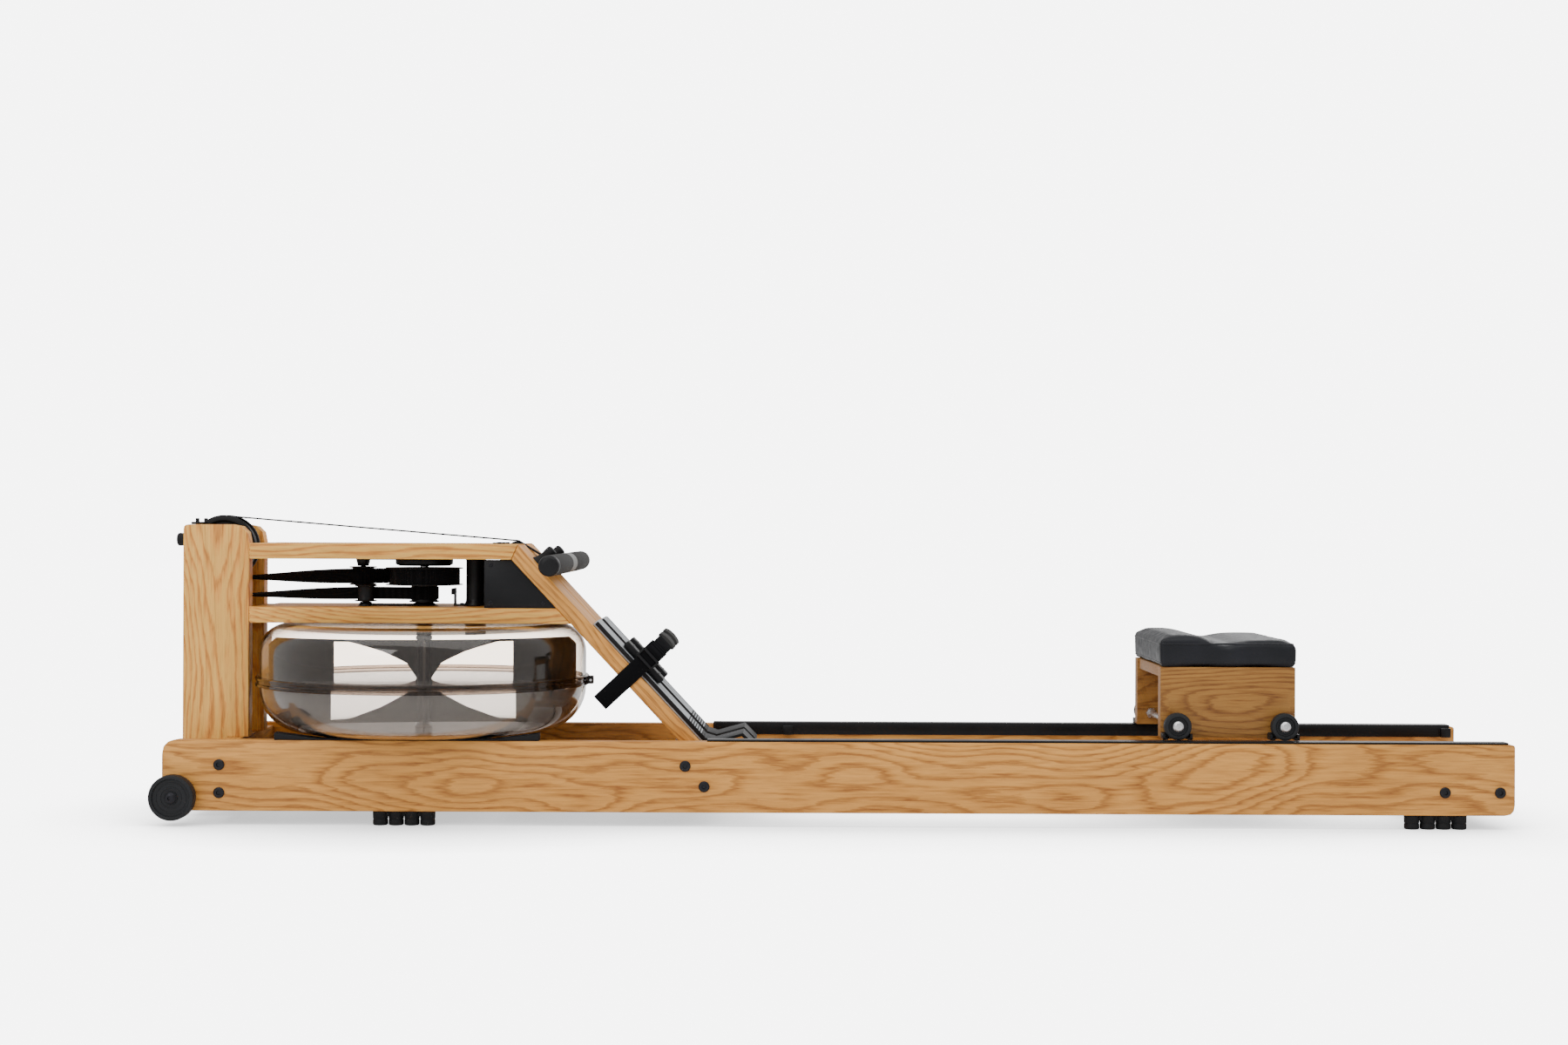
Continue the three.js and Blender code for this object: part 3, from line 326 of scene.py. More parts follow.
def oakMaterial(name, turn, heart, tone=1.0):
    # growth rings around a line beside the board, swayed along the grain so they run out in arches
    material = newMaterial(name)
    straight = objectCoordinates(material, turn=turn, shift=heart)
    stretched = scaledBy(material, straight, oakTones["swayStretch"])
    slow = noise(material, stretched, 3.2, 2.0, 0.45)
    centred = vectorMath(material, "SUBTRACT", slow.outputs["Color"], (0.5, 0.5, 0.5))
    sway = vectorMath(material, "MULTIPLY", centred, (0, oakTones["sway"], oakTones["sway"]))
    swayed = vectorMath(material, "ADD", straight, sway)
    radius = vectorMath(material, "LENGTH", vectorMath(material, "MULTIPLY", swayed, (0, 1, 1)))
    ragged = noise(material, scaledBy(material, straight, oakTones["streakStretch"]), 1.0, 4.0, 0.6)
    rough = calculate(material, "MULTIPLY", ragged.outputs["Fac"], oakTones["ragged"])
    rings = calculate(material, "ADD", radius, rough)
    phase = calculate(material, "FRACT", calculate(material, "MULTIPLY", rings, oakTones["ringSpacing"]))
    # tone makes lighter and darker copies of the same oak; the lighter copy on the posts and the deck is
    # painted light
    pale, middle, line = (tuple(min(0.92, c * tone) for c in oakTones[k])
                          for k in ("pale", "middle", "line"))
    bands = ramp(material, phase, [(0.0, middle), (0.14, line), (0.34, middle), (0.6, pale), (0.9, pale)])
    streaks = ramp(material, ragged.outputs["Fac"], [(0.35, line), (0.5, middle), (0.68, pale)])
    softer = mixed(material, oakTones["streakShare"], bands, streaks)
    pores = noise(material, scaledBy(material, straight, oakTones["fibreStretch"]), 1.0, 2.0, 0.7)
    poreMask = ramp(material, pores.outputs["Fac"], [(0.56, (0, 0, 0)), (0.72, (1, 1, 1))])
    poreShare = calculate(material, "MULTIPLY", poreMask, oakTones["poreShare"])
    withPores = mixed(material, poreShare, softer, oakTones["pore"])
    cloudy = noise(material, stretched, 7.0, 3.0)
    tint = ramp(material, cloudy.outputs["Fac"], [(0.3, (0.84, 0.81, 0.76)), (0.7, (1.0, 1.0, 1.0))])
    shader = setLook(material, middle, 0.45, **{"Specular IOR Level": 0.32})
    wire(material, mixed(material, 1.0, withPores, tint, "MULTIPLY"), shader.inputs["Base Color"])
    varyRoughness(material, pores.outputs["Fac"], 0.3, 0.8, 0.38, 0.6)
    addBump(material, calculate(material, "MULTIPLY", poreMask, -1.0), 0.25, 0.0004)
    return material


def mouldedMaterial(name, colour, roughness, grain=900, depth=0.00012, spread=0.1):
    material = newMaterial(name)
    setLook(material, colour, roughness, **{"Specular IOR Level": 0.2})
    place = objectCoordinates(material)
    fine = noise(material, place, grain, 3.0)
    broad = noise(material, place, 18, 3.0)
    dark = tuple(c * (1 - spread * 2) for c in colour)
    light = tuple(min(1, c * (1 + spread)) for c in colour)
    wire(material, ramp(material, broad.outputs["Fac"], [(0.3, dark), (0.7, light)]),
         shaderOf(material).inputs["Base Color"])
    varyRoughness(material, broad.outputs["Fac"], 0.3, 0.75, roughness - 0.06, roughness + 0.1)
    addBump(material, fine.outputs["Fac"], 0.35, depth)
    return material


def plateMaterial():
    # the heel ledges below the bend are black, the plate above them grey
    material = mouldedMaterial("platePlastic", (0.40, 0.42, 0.44), 0.5, 420, 0.0003, 0.05)
    base = shaderOf(material).inputs["Base Color"]
    grey = base.links[0].from_socket
    along = addNode(material, "ShaderNodeSeparateXYZ")
    wire(material, objectCoordinates(material), along.inputs["Vector"])
    bend = lowHigh("foot_plate_left")[1].x - heelReach
    heel = calculate(material, "GREATER_THAN", along.outputs["X"], bend)
    wire(material, mixed(material, heel, grey, (0.008, 0.008, 0.009)), base)
    return material


def metalMaterial(name, colour, roughness):
    material = newMaterial(name)
    setLook(material, colour, roughness, 1.0)
    lines = noise(material, objectCoordinates(material, scale=(600, 600, 600)), 1.0, 3.0)
    varyRoughness(material, lines.outputs["Fac"], 0.3, 0.7, roughness - 0.08, roughness + 0.15)
    addBump(material, lines.outputs["Fac"], 0.12, 0.0001)
    return material


def webbingMaterial(name, colour, rib=0.0016):
    # fine ribs both ways stand for the weave
    material = newMaterial(name)
    setLook(material, colour, 0.85, **{"Specular IOR Level": 0.06, "Sheen Weight": 0.04})
    place = objectCoordinates(material)
    weave = []
    for direction in ("DIAGONAL", "Y"):
        wave = addNode(material, "ShaderNodeTexWave", wave_type="BANDS", bands_direction=direction)
        wave.inputs["Scale"].default_value = 0.32 / rib
        wave.inputs["Distortion"].default_value = 0.4
        wire(material, place, wave.inputs["Vector"])
        weave.append(wave.outputs["Fac"])
    height = calculate(material, "MULTIPLY", weave[0], weave[1])
    dark, light = tuple(c * 0.55 for c in colour), tuple(c * 1.9 for c in colour)
    wire(material, ramp(material, height, [(0.1, dark), (0.8, light)]),
         shaderOf(material).inputs["Base Color"])
    addBump(material, height, 0.6, 0.0004)
    return material


def clearMaterial(name, colour, roughness, ior, clarity=1.0):
    material = newMaterial(name)
    setLook(material, colour, roughness, **{"Transmission Weight": clarity, "IOR": ior})
    smudge = noise(material, objectCoordinates(material), 9.0, 4.0)
    varyRoughness(material, smudge.outputs["Fac"], 0.45, 0.8, roughness, roughness + 0.035)
    return material


def leatherMaterial():
    material = newMaterial("seatLeather")
    setLook(material, (0.010, 0.011, 0.015), 0.42, **{"Specular IOR Level": 0.22})
    place = objectCoordinates(material)
    cells = addNode(material, "ShaderNodeTexVoronoi", feature="DISTANCE_TO_EDGE")
    cells.inputs["Scale"].default_value = 520
    wobble = noise(material, place, 60, 2.0)
    blended = mixed(material, 0.012, place, wobble.outputs["Color"])
    wire(material, blended, cells.inputs["Vector"])
    crease = noise(material, place, 90, 5.0, 0.65)
    height = calculate(material, "ADD", calculate(material, "MULTIPLY", cells.outputs["Distance"], 0.8),
                       calculate(material, "MULTIPLY", crease.outputs["Fac"], 0.5))
    broad = noise(material, place, 14, 3.0)
    shades = ramp(material, broad.outputs["Fac"], [(0.3, (0.007, 0.0075, 0.010)),
                                                   (0.7, (0.013, 0.0135, 0.018))])
    wire(material, shades, shaderOf(material).inputs["Base Color"])
    varyRoughness(material, crease.outputs["Fac"], 0.35, 0.7, 0.36, 0.52)
    addBump(material, height, 0.35, 0.0005)
    return material


slopeLean = (0, -slopeAngle, 0)
oakRail = oakMaterial("oakRail", (0, 0, 0), (0.0, 0.105, -0.075))
# the posts and the deck take a lighter copy of the oak (tone 1.42), a painted highlight for the stronger light
# that falls on them; the slope boards take a slightly lighter copy (1.1) and the seat sides a darker one (0.5)
oakPost = oakMaterial("oakPost", (0, math.radians(90), 0), (0.13, 0.03, -0.975), 1.42)
oakDeck = oakMaterial("oakDeck", (0, 0, 0), (0.4, 0.02, -0.52), 1.42)
oakSlope = oakMaterial("oakSlope", slopeLean, (0.1, 0.03, -0.06), 1.1)
oakCross = oakMaterial("oakCross", (0, 0, math.radians(90)), (0.1, 0.85, -0.12))
oakSeat = oakMaterial("oakSeat", (0, 0, 0), (0.2, 0.16, -0.20), 0.5)
blackPlastic = mouldedMaterial("blackPlastic", (0.0065, 0.0065, 0.0075), 0.4)
darkPlastic = mouldedMaterial("darkPlastic", (0.055, 0.048, 0.045), 0.4)
greyPlastic = plateMaterial()
blackRubber = mouldedMaterial("blackRubber", (0.008, 0.008, 0.009), 0.6, 500, 0.0003)
wheelRubber = mouldedMaterial("wheelRubber", (0.016, 0.017, 0.019), 0.5, 700, 0.0002)
foamGrip = mouldedMaterial("foamGrip", (0.045, 0.044, 0.043), 0.85, 650, 0.0009, 0.18)
foamBand = mouldedMaterial("foamBand", (0.30, 0.30, 0.29), 0.7, 650, 0.0006, 0.06)
brightSteel = metalMaterial("brightSteel", (0.62, 0.62, 0.63), 0.28)
blackSteel = metalMaterial("blackSteel", (0.03, 0.03, 0.034), 0.38)
stripTopFinish = mouldedMaterial("stripTopFinish", (0.01, 0.01, 0.012), 0.3, 300, 0.00008)
strapWeave = webbingMaterial("strapWeave", (0.006, 0.006, 0.007))
tankClear = clearMaterial("tankClear", (0.84, 0.775, 0.71), 0.01, 1.4)
waterClear = clearMaterial("waterClear", (0.80, 0.83, 0.87), 0.0, 1.03, 0.74)
cordWeave = webbingMaterial("cordWeave", (0.02, 0.02, 0.022), 0.0011)
ringSmoke = clearMaterial("ringSmoke", (0.30, 0.24, 0.20), 0.02, 1.3)
paddlePlastic = mouldedMaterial("paddlePlastic", (0.07, 0.062, 0.057), 0.35)
seatLeather = leatherMaterial()
print("materials ready")


# making and finishing pieces

def addInto(bm, part):
    # moves everything of one bmesh into another
    scratch = bpy.data.meshes.new("scratch")
    part.to_mesh(scratch)
    part.free()
    bm.from_mesh(scratch)
    bpy.data.meshes.remove(scratch)


def pieceFrom(bm, name, material, body, replaced=(), smoothAngle=35):
    bmesh.ops.recalc_face_normals(bm, faces=bm.faces)
    data = bpy.data.meshes.new(name)
    bm.to_mesh(data)
    bm.free()
    piece = bpy.data.objects.new(name, data)
    bpy.context.collection.objects.link(piece)
    piece.data.materials.append(material)
    smoothBelow(piece, smoothAngle)
    if body:
        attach(piece, body)
    if replaced:
        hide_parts(*replaced)
    return piece


def smoothBelow(piece, degrees):
    bm = bmesh.new()
    bm.from_mesh(piece.data)
    for face in bm.faces:
        face.smooth = True
    for edge in bm.edges:
        edge.smooth = len(edge.link_faces) == 2 and edge.calc_face_angle(0) < math.radians(degrees)
    bm.to_mesh(piece.data)
    bm.free()


def copyOfNode(node):
    # a merged copy of a CAD node with its flat faces joined up
    bm = bmesh.new()
    bm.from_mesh(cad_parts[node].data)
    bmesh.ops.remove_doubles(bm, verts=bm.verts, dist=0.00002)
    bmesh.ops.dissolve_limit(bm, angle_limit=math.radians(1), verts=bm.verts, edges=bm.edges)
    return bm


def sharpEdges(bm, degrees=28):
    limit = math.radians(degrees)
    return [e for e in bm.edges if len(e.link_faces) == 2 and e.calc_face_angle(0) > limit]


def roundEdges(bm, width, segments=3, degrees=28, edges=None):
    chosen = sharpEdges(bm, degrees) if edges is None else edges
    bmesh.ops.bevel(bm, geom=chosen, offset=width, offset_type="OFFSET", segments=segments, profile=0.5,
                    affect="EDGES", clamp_overlap=True, material=-1)


def refined(node, body, material, width, segments=3):
    bm = copyOfNode(node)
    roundEdges(bm, width, segments)
    return pieceFrom(bm, node + "_finish", material, body, (node,))


axisTurn = {
    "z": Matrix.Identity(4),
    "y": Matrix.Rotation(math.radians(-90), 4, "X"),
    "x": Matrix.Rotation(math.radians(90), 4, "Y"),
}


def addTurned(bm, profile, axis, centre, steps=64, edgeRound=0.0):
    # profile of (radius, height) points in metres, spun about an axis through centre
    start = bmesh.new()
    verts = [start.verts.new((max(r, 0.0), 0, h)) for r, h in profile]
    closed = profile[0][0] > 1e-6
    for a, b in zip(verts, verts[1:]):
        start.edges.new((a, b))
    if closed:
        start.edges.new((verts[-1], verts[0]))
    bmesh.ops.spin(start, geom=start.verts[:] + start.edges[:], cent=(0, 0, 0), axis=(0, 0, 1),
                   angle=math.tau, steps=steps, use_merge=True)
    bmesh.ops.remove_doubles(start, verts=start.verts, dist=1e-6)
    bmesh.ops.recalc_face_normals(start, faces=start.faces)
    if edgeRound:
        edges = sharpEdges(start, 50)
        bmesh.ops.bevel(start, geom=edges, offset=edgeRound, offset_type="OFFSET", segments=2, profile=0.5,
                        affect="EDGES", clamp_overlap=True, material=-1)
    start.transform(Matrix.Translation(centre) @ axisTurn[axis])
    addInto(bm, start)


def turned(profile, axis, centre, steps=64, edgeRound=0.0):
    bm = bmesh.new()
    addTurned(bm, profile, axis, centre, steps, edgeRound)
    return bm


def addBlock(bm, low, high, matrix=None, edgeRound=0.0, segments=2):
    low, high = Vector(low), Vector(high)
    start = bmesh.new()
    bmesh.ops.create_cube(start, size=1)
    size = high - low
    start.transform(Matrix.Translation((low + high) / 2) @ Matrix.Diagonal((*size, 1)))
    if edgeRound:
        bmesh.ops.bevel(start, geom=start.edges[:], offset=edgeRound, offset_type="OFFSET",
                        segments=segments,
                        profile=0.5, affect="EDGES", clamp_overlap=True, material=-1)
    if matrix is not None:
        start.transform(matrix)
    addInto(bm, start)


# oak boards

boards = {
    "edge": 3.0 * mm,
    "rails": ("rail_left", "rail_right"),
    "posts": ("tower_post_left", "tower_post_right"),
    "decks": ("upper_deck", "lower_deck"),
    "slope": ("footboard_left", "footboard_right"),
    "cross": ("front_cross_board", "middle_cross_board", "rear_cross_board"),
    "seatSides": ("seat_side_left", "seat_side_right", "seat_plate"),
}


def makeBoards():
    families = (("rails", "frame", oakRail), ("posts", "frame", oakPost), ("decks", "frame", oakDeck),
                ("slope", "frame", oakSlope), ("cross", "frame", oakCross), ("seatSides", "seat", oakSeat))
    for family, body, material in families:
        for node in boards[family]:
            refined(node, body, material, boards["edge"], 4)
    print("boards done")


# bolts, buffers and the small hardware of the frame

bolts = {
    "headRadius": 8.5 * mm,
    "headHeight": 3.2 * mm,
    "socketRadius": 3.6 * mm,
    "socketDepth": 2.2 * mm,
    "sink": 0.2 * mm,
    "slopeStep": 21.5 * mm,
    "rearStep": 42.5 * mm,
    "aboveFront": 18 * mm,
    "belowFront": 25 * mm,
}


def addBoltHead(bm, centre, sign, radius=None, height=None):
    radius = radius or bolts["headRadius"]
    height = height or bolts["headHeight"]
    dome = [(0, 0), (radius, 0), (radius, height * 0.45), (radius * 0.86, height * 0.85),
            (radius * 0.55, height)]
    start = bmesh.new()
    inner = bolts["socketRadius"] * radius / bolts["headRadius"]
    verts = [start.verts.new((r, 0, h)) for r, h in dome + [(inner, height)]]
    for a, b in zip(verts, verts[1:]):
        start.edges.new((a, b))
    bmesh.ops.spin(start, geom=start.verts[:] + start.edges[:], cent=(0, 0, 0), axis=(0, 0, 1),
                   angle=math.tau, steps=24, use_merge=True)
    bmesh.ops.remove_doubles(start, verts=start.verts, dist=1e-6)
    rim = [e for e in start.edges if len(e.link_faces) == 1]
    walls = bmesh.ops.extrude_edge_only(start, edges=rim)
    floorVerts = [v for v in walls["geom"] if isinstance(v, bmesh.types.BMVert)]
    for vert in floorVerts:
        angle = math.atan2(vert.co.y, vert.co.x)
        corner = round(angle / (math.pi / 3)) * math.pi / 3
        lean = (angle - corner + math.pi / 6) % (math.pi / 3) - math.pi / 6
        reach = inner * math.cos(math.pi / 6) / math.cos(lean)
        vert.co = Vector((math.cos(angle) * reach * 0.96, math.sin(angle) * reach * 0.96,
                          height - bolts["socketDepth"]))
    bmesh.ops.holes_fill(start, edges=[e for e in start.edges if len(e.link_faces) == 1], sides=0)
    bmesh.ops.recalc_face_normals(start, faces=start.faces)
    turn = Matrix.Rotation(math.radians(-90 * sign), 4, "X")
    start.transform(Matrix.Translation(centre) @ turn)
    addInto(bm, start)


def boltPlaces():
    front = middleOf("front_cross_board")
    middle = middleOf("middle_cross_board")
    rear = middleOf("rear_cross_board")
    step = alongSlope * bolts["slopeStep"]
    return [(front.x, front.z + bolts["aboveFront"]), (front.x, front.z - bolts["belowFront"]),
            (middle.x - step.x, middle.z - step.z), (middle.x + step.x, middle.z + step.z),
            (rear.x - bolts["rearStep"], rear.z), (rear.x + bolts["rearStep"], rear.z)]


def makeHardware():
    outer = {-1: lowHigh("rail_left")[0].y, 1: lowHigh("rail_right")[1].y}
    bm = bmesh.new()
    for x, z in boltPlaces():
        for sign in (-1, 1):
            addBoltHead(bm, (x, outer[sign] - sign * bolts["sink"], z), sign)
    pieceFrom(bm, "frameBolts", blackSteel, "frame")
    front, top = lowHigh("tower_post_left")[0].x, lowHigh("tower_post_left")[1].z
    bm = bmesh.new()
    for side in ("left", "right"):
        y = middleOf("tower_post_" + side).y
        profile = [(0, -12 * mm), (8 * mm, -12 * mm), (10 * mm, -10.5 * mm), (10.5 * mm, -8 * mm),
                   (10 * mm, -3 * mm),
                   (10.5 * mm, -1 * mm), (10.5 * mm, 0.1 * mm), (0, 0.1 * mm)]
        addTurned(bm, profile, "x", (front, y, top - 24 * mm), 32)
    pieceFrom(bm, "towerBuffers", blackRubber, "frame")
    makeKeepers()
    makeSensor()
    makeRingClamp()
    makeCoverScrews()
    print("hardware done")


def makeKeepers():
    # a bar between the posts keeps the strap on the front pulley, and a plate lies on each side of
    # the strap roller
    low, high = lowHigh("tower_post_left")
    top, inner = high.z, high.y
    x = low.x + 17 * mm
    bm = bmesh.new()
    addBlock(bm, (x - 8 * mm, inner - 14 * mm, top + 0.1 * mm),
             (x + 8 * mm, -inner + 14 * mm, top + 4 * mm),
             None, 1.2 * mm)
    for sign in (-1, 1):
        pinY = sign * (-inner - 14 * mm)
        addBlock(bm, (x - 8 * mm, pinY - 2 * mm, top + 2 * mm), (x - 2 * mm, pinY + 2 * mm, top + 10 * mm),
                 None, 1 * mm)
        addBoltHead(bm, (x + 2 * mm, sign * (-inner + 8 * mm), top), 0, 4 * mm, 2 * mm)
    pieceFrom(bm, "strapKeeper", blackPlastic, "frame")
    deckTop = lowHigh("upper_deck")[1].z
    rollerX = middleOf("strap_roller").x
    bm = bmesh.new()
    for sign in (-1, 1):
        y0, y1 = sorted((sign * 17.5 * mm, sign * 36 * mm))
        addBlock(bm, (rollerX - 34 * mm, y0, deckTop + 0.1 * mm),
                 (rollerX - 14 * mm, y1, deckTop + 2.2 * mm),
                 None, 0.8 * mm)
    pieceFrom(bm, "rollerPlates", blackPlastic, "frame")


def makeSensor():
    # a bent steel tab holds the speed sensor beside the drum
    x = middleOf("tank_ring").x + 50 * mm
    floor = lowHigh("lower_deck")[1].z
    half = 8 * mm
    bm = bmesh.new()
    addBlock(bm, (x - 1.2 * mm, -half, floor + 0.2 * mm), (x + 1.2 * mm, half, floor + 29 * mm), None,
             0.4 * mm)
    addBlock(bm, (x - 1.2 * mm, -half, floor + 0.2 * mm), (x + 18 * mm, half, floor + 2.4 * mm), None,
             0.4 * mm)
    addTurned(bm, [(0, 0), (3.6 * mm, 0), (3.6 * mm, 1.6 * mm), (2.4 * mm, 2.6 * mm), (0, 2.6 * mm)], "z",
              (x + 11 * mm, 0, floor + 2.2 * mm), 20)
    pieceFrom(bm, "sensorBracket", blackSteel, "frame")
    bm = bmesh.new()
    addBlock(bm, (x - 6 * mm, -6 * mm, floor + 18 * mm), (x - 1.3 * mm, 6 * mm, floor + 28 * mm), None,
             0.8 * mm)
    pieceFrom(bm, "speedSensor", blackPlastic, "frame")


def makeRingClamp():
    # the ends of the tank's ring are drawn together by a small screw on the rear side
    low, high = lowHigh("tank_ring")
    x, z = high.x, (low.z + high.z) / 2
    bm = bmesh.new()
    for sign in (-1, 1):
        addBlock(bm, (x - 1.5 * mm, sign * 2 * mm - 2.6 * mm + sign * 1.6 * mm, z - 6.5 * mm),
                 (x + 8 * mm, sign * 2 * mm + 2.6 * mm + sign * 1.6 * mm, z + 6.5 * mm), None, 1.2 * mm, 3)
    pieceFrom(bm, "ringClamp", darkPlastic, "frame")
    bm = turned([(0, -11 * mm), (2 * mm, -11 * mm), (2 * mm, 8 * mm), (3.8 * mm, 8 * mm),
                 (3.8 * mm, 10.5 * mm),
                   (3 * mm, 11.2 * mm), (0, 11.2 * mm)], "y", (x + 4 * mm, 0, z), 24)
    pieceFrom(bm, "ringScrew", brightSteel, "frame")


def makeCoverScrews():
    low, high = lowHigh("drive_cover")
    bm = bmesh.new()
    for sign, y in ((-1, low.y), (1, high.y)):
        for x, z in ((high.x - 20 * mm, low.z + 8 * mm), (low.x + 10 * mm, low.z + 8 * mm),
                     (low.x + 10 * mm, high.z - 8 * mm)):
            addBoltHead(bm, (x, y - sign * 0.1 * mm, z), sign, 3.4 * mm, 1.4 * mm)
    pieceFrom(bm, "coverScrews", blackSteel, "frame")


# slide strips, pads, feet and cover: CAD shapes with finer edges

def makeTrim():
    for side in ("left", "right"):
        strip = refined("slide_strip_" + side, "frame", blackPlastic, 0.7 * mm, 2)
        strip.data.materials.append(stripTopFinish)
        top = lowHigh("slide_strip_" + side)[1].z
        for polygon in strip.data.polygons:
            if polygon.normal.z > 0.9 and polygon.center.z > top - 1 * mm:
                polygon.material_index = 1
        refined("tank_pad_" + side, "frame", blackRubber, 0.8 * mm, 2)
        for end in ("front", "rear"):
            makeFoot("foot_" + end + "_" + side)
    refined("drive_cover", "frame", blackPlastic, 0.8 * mm, 2)
    bm = bmesh.new()
    centre = middleOf("tank_plug")
    size = sizeOf("tank_plug")
    radius, half = size.x / 2, size.z / 2
    addTurned(bm, [(0, -half), (radius - 1 * mm, -half), (radius, half - 4 * mm), (radius, half),
                   (radius - 3 * mm, half), (radius - 4 * mm, half - 2 * mm), (0, half - 2 * mm)],
              "z", centre, 48, 0.4 * mm)
    addBlock(bm, centre + Vector((-11 * mm, -1.5 * mm, half - 3 * mm)),
             centre + Vector((11 * mm, 1.5 * mm, half)), None, 0.5 * mm)
    pieceFrom(bm, "tankPlug", blackRubber, "frame", ("tank_plug",))
    print("trim done")


foot = {"lobes": 4, "groove": 1.2 * mm}


def makeFoot(node):
    low, high = lowHigh(node)
    width = high.y - low.y
    radius = width / 2
    pitch = (high.x - low.x - width) / (foot["lobes"] - 1)
    middle = (low.y + high.y) / 2
    tall = high.z - low.z
    bm = bmesh.new()
    for index in range(foot["lobes"]):
        x = low.x + radius + index * pitch
        profile = [(0, 0), (radius - 2 * mm, 0), (radius - 0.4 * mm, 1.6 * mm),
                   (radius - 0.4 * mm, tall * 0.35),
                   (radius - foot["groove"], tall * 0.42), (radius - 0.4 * mm, tall * 0.49),
                   (radius - 0.2 * mm, tall - 1 * mm), (radius - 1 * mm, tall), (0, tall)]
        addTurned(bm, profile, "z", (x, middle, low.z), 32)
    addBlock(bm, (low.x + radius, middle - 6 * mm, high.z - 8 * mm),
             (high.x - radius, middle + 6 * mm, high.z),
             None, 0.5 * mm)
    pieceFrom(bm, node + "_finish", blackRubber, "frame", (node,))


# tank, water and paddle

tank = {
    "wall": 4 * mm,
    "topCorner": 47 * mm,
    "bottomCorner": 70 * mm,
    "spin": 128,
}


def quarter(centreRadius, centreHeight, radius, start, end, steps=10):
    points = []
    for index in range(steps + 1):
        angle = math.radians(start + (end - start) * index / steps)
        points.append((centreRadius + radius * math.cos(angle), centreHeight + radius * math.sin(angle)))
    return points


def makeTank():
    low, rimLow = lowHigh("tank_lower_bowl")
    rimHigh, high = lowHigh("tank_upper_bowl")
    centre = middleOf("tank_lower_bowl")
    axis = (centre.x, centre.y, 0)
    radius = (rimLow.x - low.x) / 2
    inside = radius - tank["wall"]
    base, top = low.z, high.z
    bottom, crown = tank["bottomCorner"], tank["topCorner"]
    outer = quarter(radius - bottom, base + bottom, bottom, -90, 0)
    inner = quarter(radius - bottom, base + bottom, bottom - tank["wall"], -90, 0)
    floor = base + tank["wall"]
    profile = [(0, base)] + outer + [(radius, rimLow.z), (inside, rimLow.z)] + inner[::-1]
    profile += [(13 * mm, floor), (11 * mm, floor + 7 * mm), (9.5 * mm, floor + 8 * mm),
                (0, floor + 8 * mm)]
    bm = turned(profile, "z", axis, tank["spin"])
    pieceFrom(bm, "tankLowerBowl", tankClear, "frame", ("tank_lower_bowl",), 30)
    outer = quarter(radius - crown, top - crown, crown, 0, 90)
    inner = quarter(radius - crown, top - crown, crown - tank["wall"], 0, 90)
    neck = 7.4 * mm
    profile = [(radius, rimHigh.z)] + outer + [(neck, top), (neck, top - 9 * mm), (11 * mm, top - 9 * mm),
                                               (13 * mm, top - tank["wall"])]
    profile += inner[::-1] + [(inside, rimHigh.z)]
    bm = turned(profile, "z", axis, tank["spin"])
    pieceFrom(bm, "tankUpperBowl", tankClear, "frame", ("tank_upper_bowl",), 30)
    waterLow, waterHigh = lowHigh("tank_water")
    waterRadius = (waterHigh.x - waterLow.x) / 2
    corner = bottom - tank["wall"] - 1 * mm
    profile = [(0, waterLow.z + 8 * mm), (12 * mm, waterLow.z + 8 * mm), (14.5 * mm, waterLow.z)]
    profile += quarter(waterRadius - corner, waterLow.z + corner, corner, -90, 0)
    profile += [(waterRadius, waterHigh.z - 0.8 * mm), (waterRadius - 2 * mm, waterHigh.z - 1.6 * mm)]
    profile.append((0, waterHigh.z - 1.6 * mm))
    bm = turned(profile, "z", axis, tank["spin"])
    pieceFrom(bm, "tankWater", waterClear, "paddle", ("tank_water",), 30)
    makeRing(axis)
    makePaddle()
    print("tank done")


def makeRing(axis):
    low, high = lowHigh("tank_ring")
    outer = (high.x - low.x) / 2
    inner = outer - 4.7 * mm
    z0, z1 = low.z, high.z
    middle = (z0 + z1) / 2
    profile = [(inner, z0), (outer - 1.2 * mm, z0), (outer, z0 + 1.2 * mm), (outer, z0 + 4.5 * mm),
               (outer - 1.4 * mm, z0 + 5.5 * mm), (outer - 1.4 * mm, z1 - 5.5 * mm), (outer, z1 - 4.5 * mm),
               (outer, z1 - 1.2 * mm), (outer - 1.2 * mm, z1), (inner, z1), (inner, middle + 1.2 * mm),
               (inner - 3.2 * mm, middle + 1.2 * mm), (inner - 3.2 * mm, middle - 1.2 * mm),
               (inner, middle - 1.2 * mm)]
    bm = turned(profile, "z", axis, tank["spin"])
    pieceFrom(bm, "tankRing", ringSmoke, "frame", ("tank_ring",), 30)


def makePaddle():
    bm = copyOfNode("paddle")
    low, high = lowHigh("paddle")
    centre = middleOf("paddle")
    roundEdges(bm, 0.7 * mm, 2, 40)
    pieceFrom(bm, "paddle_finish", paddlePlastic, "paddle", ("paddle",), 30)
    sleeveLow, sleeveHigh = low.z + 4 * mm, lowHigh("tank_upper_bowl")[1].z - 8 * mm
    bm = bmesh.new()
    sleeve = [(0, sleeveLow), (9 * mm, sleeveLow), (10.5 * mm, sleeveLow + 2 * mm),
              (10.5 * mm, sleeveHigh - 14 * mm),
              (13 * mm, sleeveHigh - 12 * mm), (13 * mm, sleeveHigh - 4 * mm), (11 * mm, sleeveHigh),
              (0, sleeveHigh)]
    addTurned(bm, sleeve, "z", (centre.x, centre.y, 0), 40, 0.3 * mm)
    pieceFrom(bm, "paddleHub", paddlePlastic, "paddle")
    bm = turned([(0, sleeveHigh - 1 * mm), (6.6 * mm, sleeveHigh - 1 * mm), (6.6 * mm, high.z - 1.5 * mm),
                   (5.2 * mm, high.z), (0, high.z)], "z", (centre.x, centre.y, 0), 40)
    pieceFrom(bm, "paddleShaft", brightSteel, "paddle")


# drums, pulleys and guide rollers

